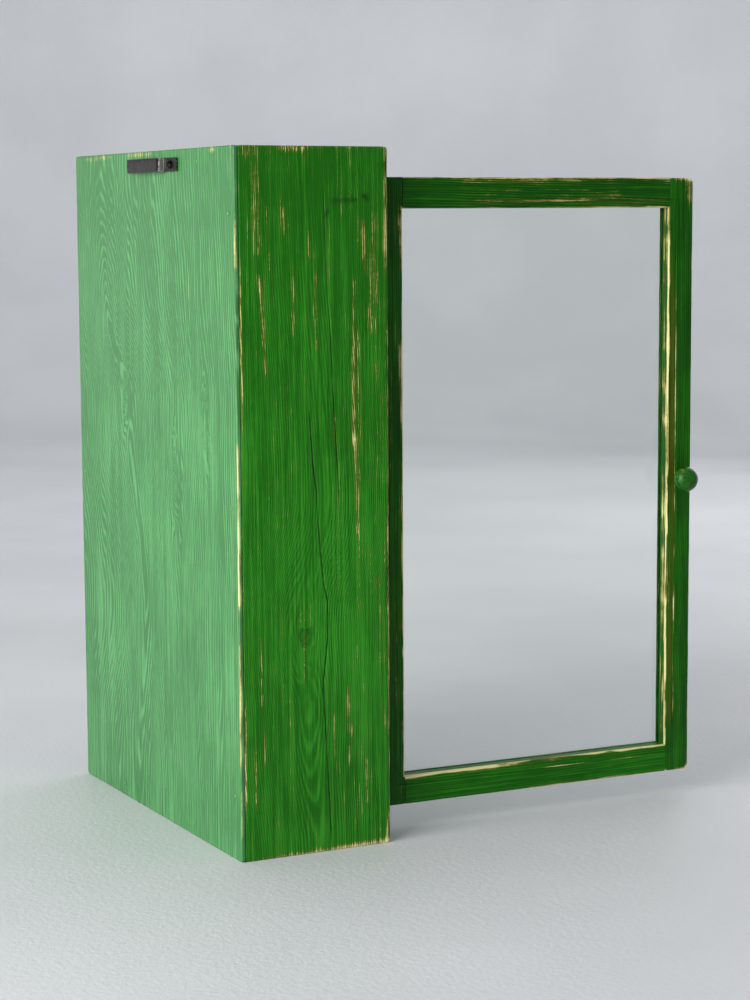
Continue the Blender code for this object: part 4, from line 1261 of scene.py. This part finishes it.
def hinge_leaf(level, hand, sign):
    """A plate with rolled knuckles round the pin, countersunk for its two screws."""
    node = f"hinge_{level}_{hand}_leaf"
    low, high = upright_box(node)
    pin = PIVOT / MM
    case_low, case_high = upright_box(f"hinge_{level}_case_leaf")
    length = case_high.z - case_low.z
    bottom = (low.z + high.z) / 2 - length / 2
    third = length / 3
    if hand == "case":
        spans = [(bottom, bottom + third - KNUCKLE_GAP),
                 (bottom + 2 * third + KNUCKLE_GAP, bottom + length)]
    else:
        spans = [(bottom + third + KNUCKLE_GAP, bottom + 2 * third - KNUCKLE_GAP)]
    face_x = pin.x + sign * PLATE_START
    x = sorted((face_x, pin.x + sign * PLATE_END))
    up, changes = (0, 0, 1), []
    for start, end in spans:
        changes.append(("UNION", box_mesh((x[0], pin.y, start), (x[1], pin.y + PLATE_FOOT + 1, end))))
        tube = [(0, 0), (0, KNUCKLE - 0.25), (0.25, KNUCKLE), (end - start - 0.25, KNUCKLE),
                (end - start, KNUCKLE - 0.25), (end - start, 0)]
        changes.append(("UNION", lathe_mesh(tube, (pin.x, pin.y, start), up)))
    through = [(-2, 0), (-2, BORE), (length + 2, BORE), (length + 2, 0)]
    changes.append(("DIFFERENCE", lathe_mesh(through, (pin.x, pin.y, bottom), up, 32)))
    for place in ("lower", "upper"):
        head_low, head_high = upright_box(f"{node}_screw_{place}")
        centre = (head_low + head_high) / 2
        wide = (head_high.z - head_low.z) / 2 + SINK_PLAY
        cone = [(-0.3, 0), (-0.3, wide + 0.3), (2.2, wide - 2.2), (2.2, 0)]
        changes.append(("DIFFERENCE", lathe_mesh(cone, (face_x, centre.y, centre.z), (sign, 0, 0))))
    plate = box_mesh((x[0], pin.y + PLATE_FOOT, bottom), (x[1], high.y, bottom + length), 0.18)
    place_steel(f"hinge_{level}_{hand}_plate", combined(plate, changes), node)


def make_hinges():
    for level in ("lower", "upper"):
        hinge_leaf(level, "case", -1)
        hinge_leaf(level, "door", 1)
        node = f"hinge_{level}_pin"
        low, high = upright_box(node)
        length = high.z - low.z
        rod = [(0, 0), (0, PIN - 0.5), (0.6, PIN), (length - 1.1, PIN), (length - 1.0, 2.1),
               (length - 0.6, 2.2), (length - 0.2, 1.8), (length, 1.0), (length, 0)]
        seat = ((low.x + high.x) / 2, (low.y + high.y) / 2, low.z)
        place_steel(f"hinge_{level}_rod", lathe_mesh(rod, seat, (0, 0, 1)), node)


# ---------------------------------------------------------------- pieces kept as packed

def finish_cad_nodes():
    """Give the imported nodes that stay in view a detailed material."""
    finishes = {"back_pin": PIN_PAINT, "dowel": DOWEL_PINE, "glass_pane": GLASS, "catch_case": PLASTIC,
                "catch_magnet": HINGE_STEEL, "strike_plate": HINGE_STEEL}
    for name, piece in frame["nodes"].items():
        for start, material in finishes.items():
            if name.startswith(start):
                piece.data.materials.clear()
                piece.data.materials.append(material)


# ---------------------------------------------------------------- stage, light and camera

def make_stage():
    """A pale floor that curves up far away into a pale surround."""
    radius, rise, curve, segments = 5.5, 3.2, 1.6, 96
    flat = radius - curve
    profile = [(r, 0.0) for r in (0.15, 0.4, 0.8, 1.4, 2.2, 3.2, flat)]
    profile += [(flat + curve * math.sin(a), curve - curve * math.cos(a))
                for a in (math.pi / 2 * step / 14 for step in range(1, 15))]
    profile.append((radius, rise))
    angles = [TURN * k / segments for k in range(segments)]
    points = [(0.0, 0.0, 0.0)]
    points += [(r * math.cos(angle), r * math.sin(angle), z) for r, z in profile for angle in angles]
    faces = [(0, 1 + k, 1 + (k + 1) % segments) for k in range(segments)]
    faces += [face[::-1] for face in ring_faces(len(profile), segments, 1)]
    mesh = bpy.data.meshes.new("studio_floor")
    mesh.from_pydata(points, [], faces)
    mesh.shade_smooth()
    m = Nodes("pale_floor")
    place = m.object_place()
    cloud = m.noise(place, 0.0022, 3)
    grit = m.noise(place, 0.16, 4, 0.6)
    tone = m.step(m.swings(cloud, (grit, 0.25)), 0.3, 0.7)
    m.surface(Base_Color=m.mix(tone, (0.64, 0.655, 0.675), (0.70, 0.715, 0.735)),
              Roughness=m.step(grit, 0.3, 0.7, 0.42, 0.6), Normal=m.bump(grit, 0.5))
    mesh.materials.append(m.material)
    add_object("studio_floor", mesh)


# name, place and aim in metres from the middle of the cabinet, size, power and colour
LAMPS = (
    ("window_key", (-1.0, 2.35, 0.7), (0, 0, 0), (1.9, 1.8), 82, (1.0, 0.99, 0.97)),
    ("window_sheen", (2.6, 1.5, 0.2), (0, 0, 0), (1.8, 0.9), 3.5, (0.97, 0.99, 1.0)),
    ("soft_top", (0.2, 0.1, 2.6), (0, 0, 0), (2.4, 2.4), 15, (0.98, 0.99, 1.0)),
    ("front_fill", (1.2, -2.4, 1.1), (0, 0, 0), (2.0, 2.0), 18, (0.99, 1.0, 1.0)),
    ("surround_lamp", (1.9, -1.0, 3.2), (4.6, -2.4, 0.4), (3.2, 1.6), 62, (0.97, 0.985, 1.0)),
)


def make_lights():
    """A tall window behind, weak fills, and a lamp for the surround beyond the cabinet."""
    middle = (cad_box[0] + cad_box[1]) / 2
    for name, place, aim, size, energy, colour in LAMPS:
        data = bpy.data.lights.new(name, "AREA")
        data.shape = "RECTANGLE"
        data.size, data.size_y = size
        data.energy = energy
        data.color = colour
        lamp = add_object(name, data)
        lamp.location = middle + Vector(place)
        lamp.rotation_euler = (Vector(aim) - Vector(place)).to_track_quat("-Z", "Y").to_euler()
        lamp.visible_camera = False
    world = bpy.data.worlds.new("pale_room")
    world.use_nodes = True
    background = world.node_tree.nodes["Background"]
    background.inputs["Color"].default_value = (0.93, 0.96, 1.0, 1.0)
    background.inputs["Strength"].default_value = 0.25
    bpy.context.scene.world = world


VIEW_ANGLES = (117.167, 6.799, 0.318)       # heading, tilt down and roll in degrees
VIEW_PLACE = (-2.1235, 0.9265, 0.5839)      # metres
FOCAL_LENGTH, SENSOR_WIDTH = 84.69, 36.0    # mm


def make_camera():
    """The viewpoint: seen from the rear left, with the door standing open on the right."""
    heading, pitch, roll = (math.radians(angle) for angle in VIEW_ANGLES)
    level = Vector((math.cos(heading), -math.sin(heading), 0))
    ahead = Vector((math.sin(heading), math.cos(heading), 0))
    forward = ahead * math.cos(pitch) - Vector((0, 0, math.sin(pitch)))
    down = forward.cross(level)
    right = level * math.cos(roll) + down * math.sin(roll)
    up = -(down * math.cos(roll) - level * math.sin(roll))
    data = bpy.data.cameras.new("camera")
    data.lens, data.sensor_width = FOCAL_LENGTH, SENSOR_WIDTH
    camera = add_object("camera", data)
    turn = Matrix((right, up, -forward)).transposed().to_4x4()
    camera.matrix_world = Matrix.Translation(Vector(VIEW_PLACE)) @ turn
    bpy.context.scene.camera = camera


make_sides()
make_cross_boards()
make_back()
make_door_frame()
make_beads()
make_knob()
make_strap()
make_screws()
make_hinges()
finish_cad_nodes()
make_stage()
make_lights()
make_camera()
bpy.context.scene.view_settings.view_transform = "Standard"
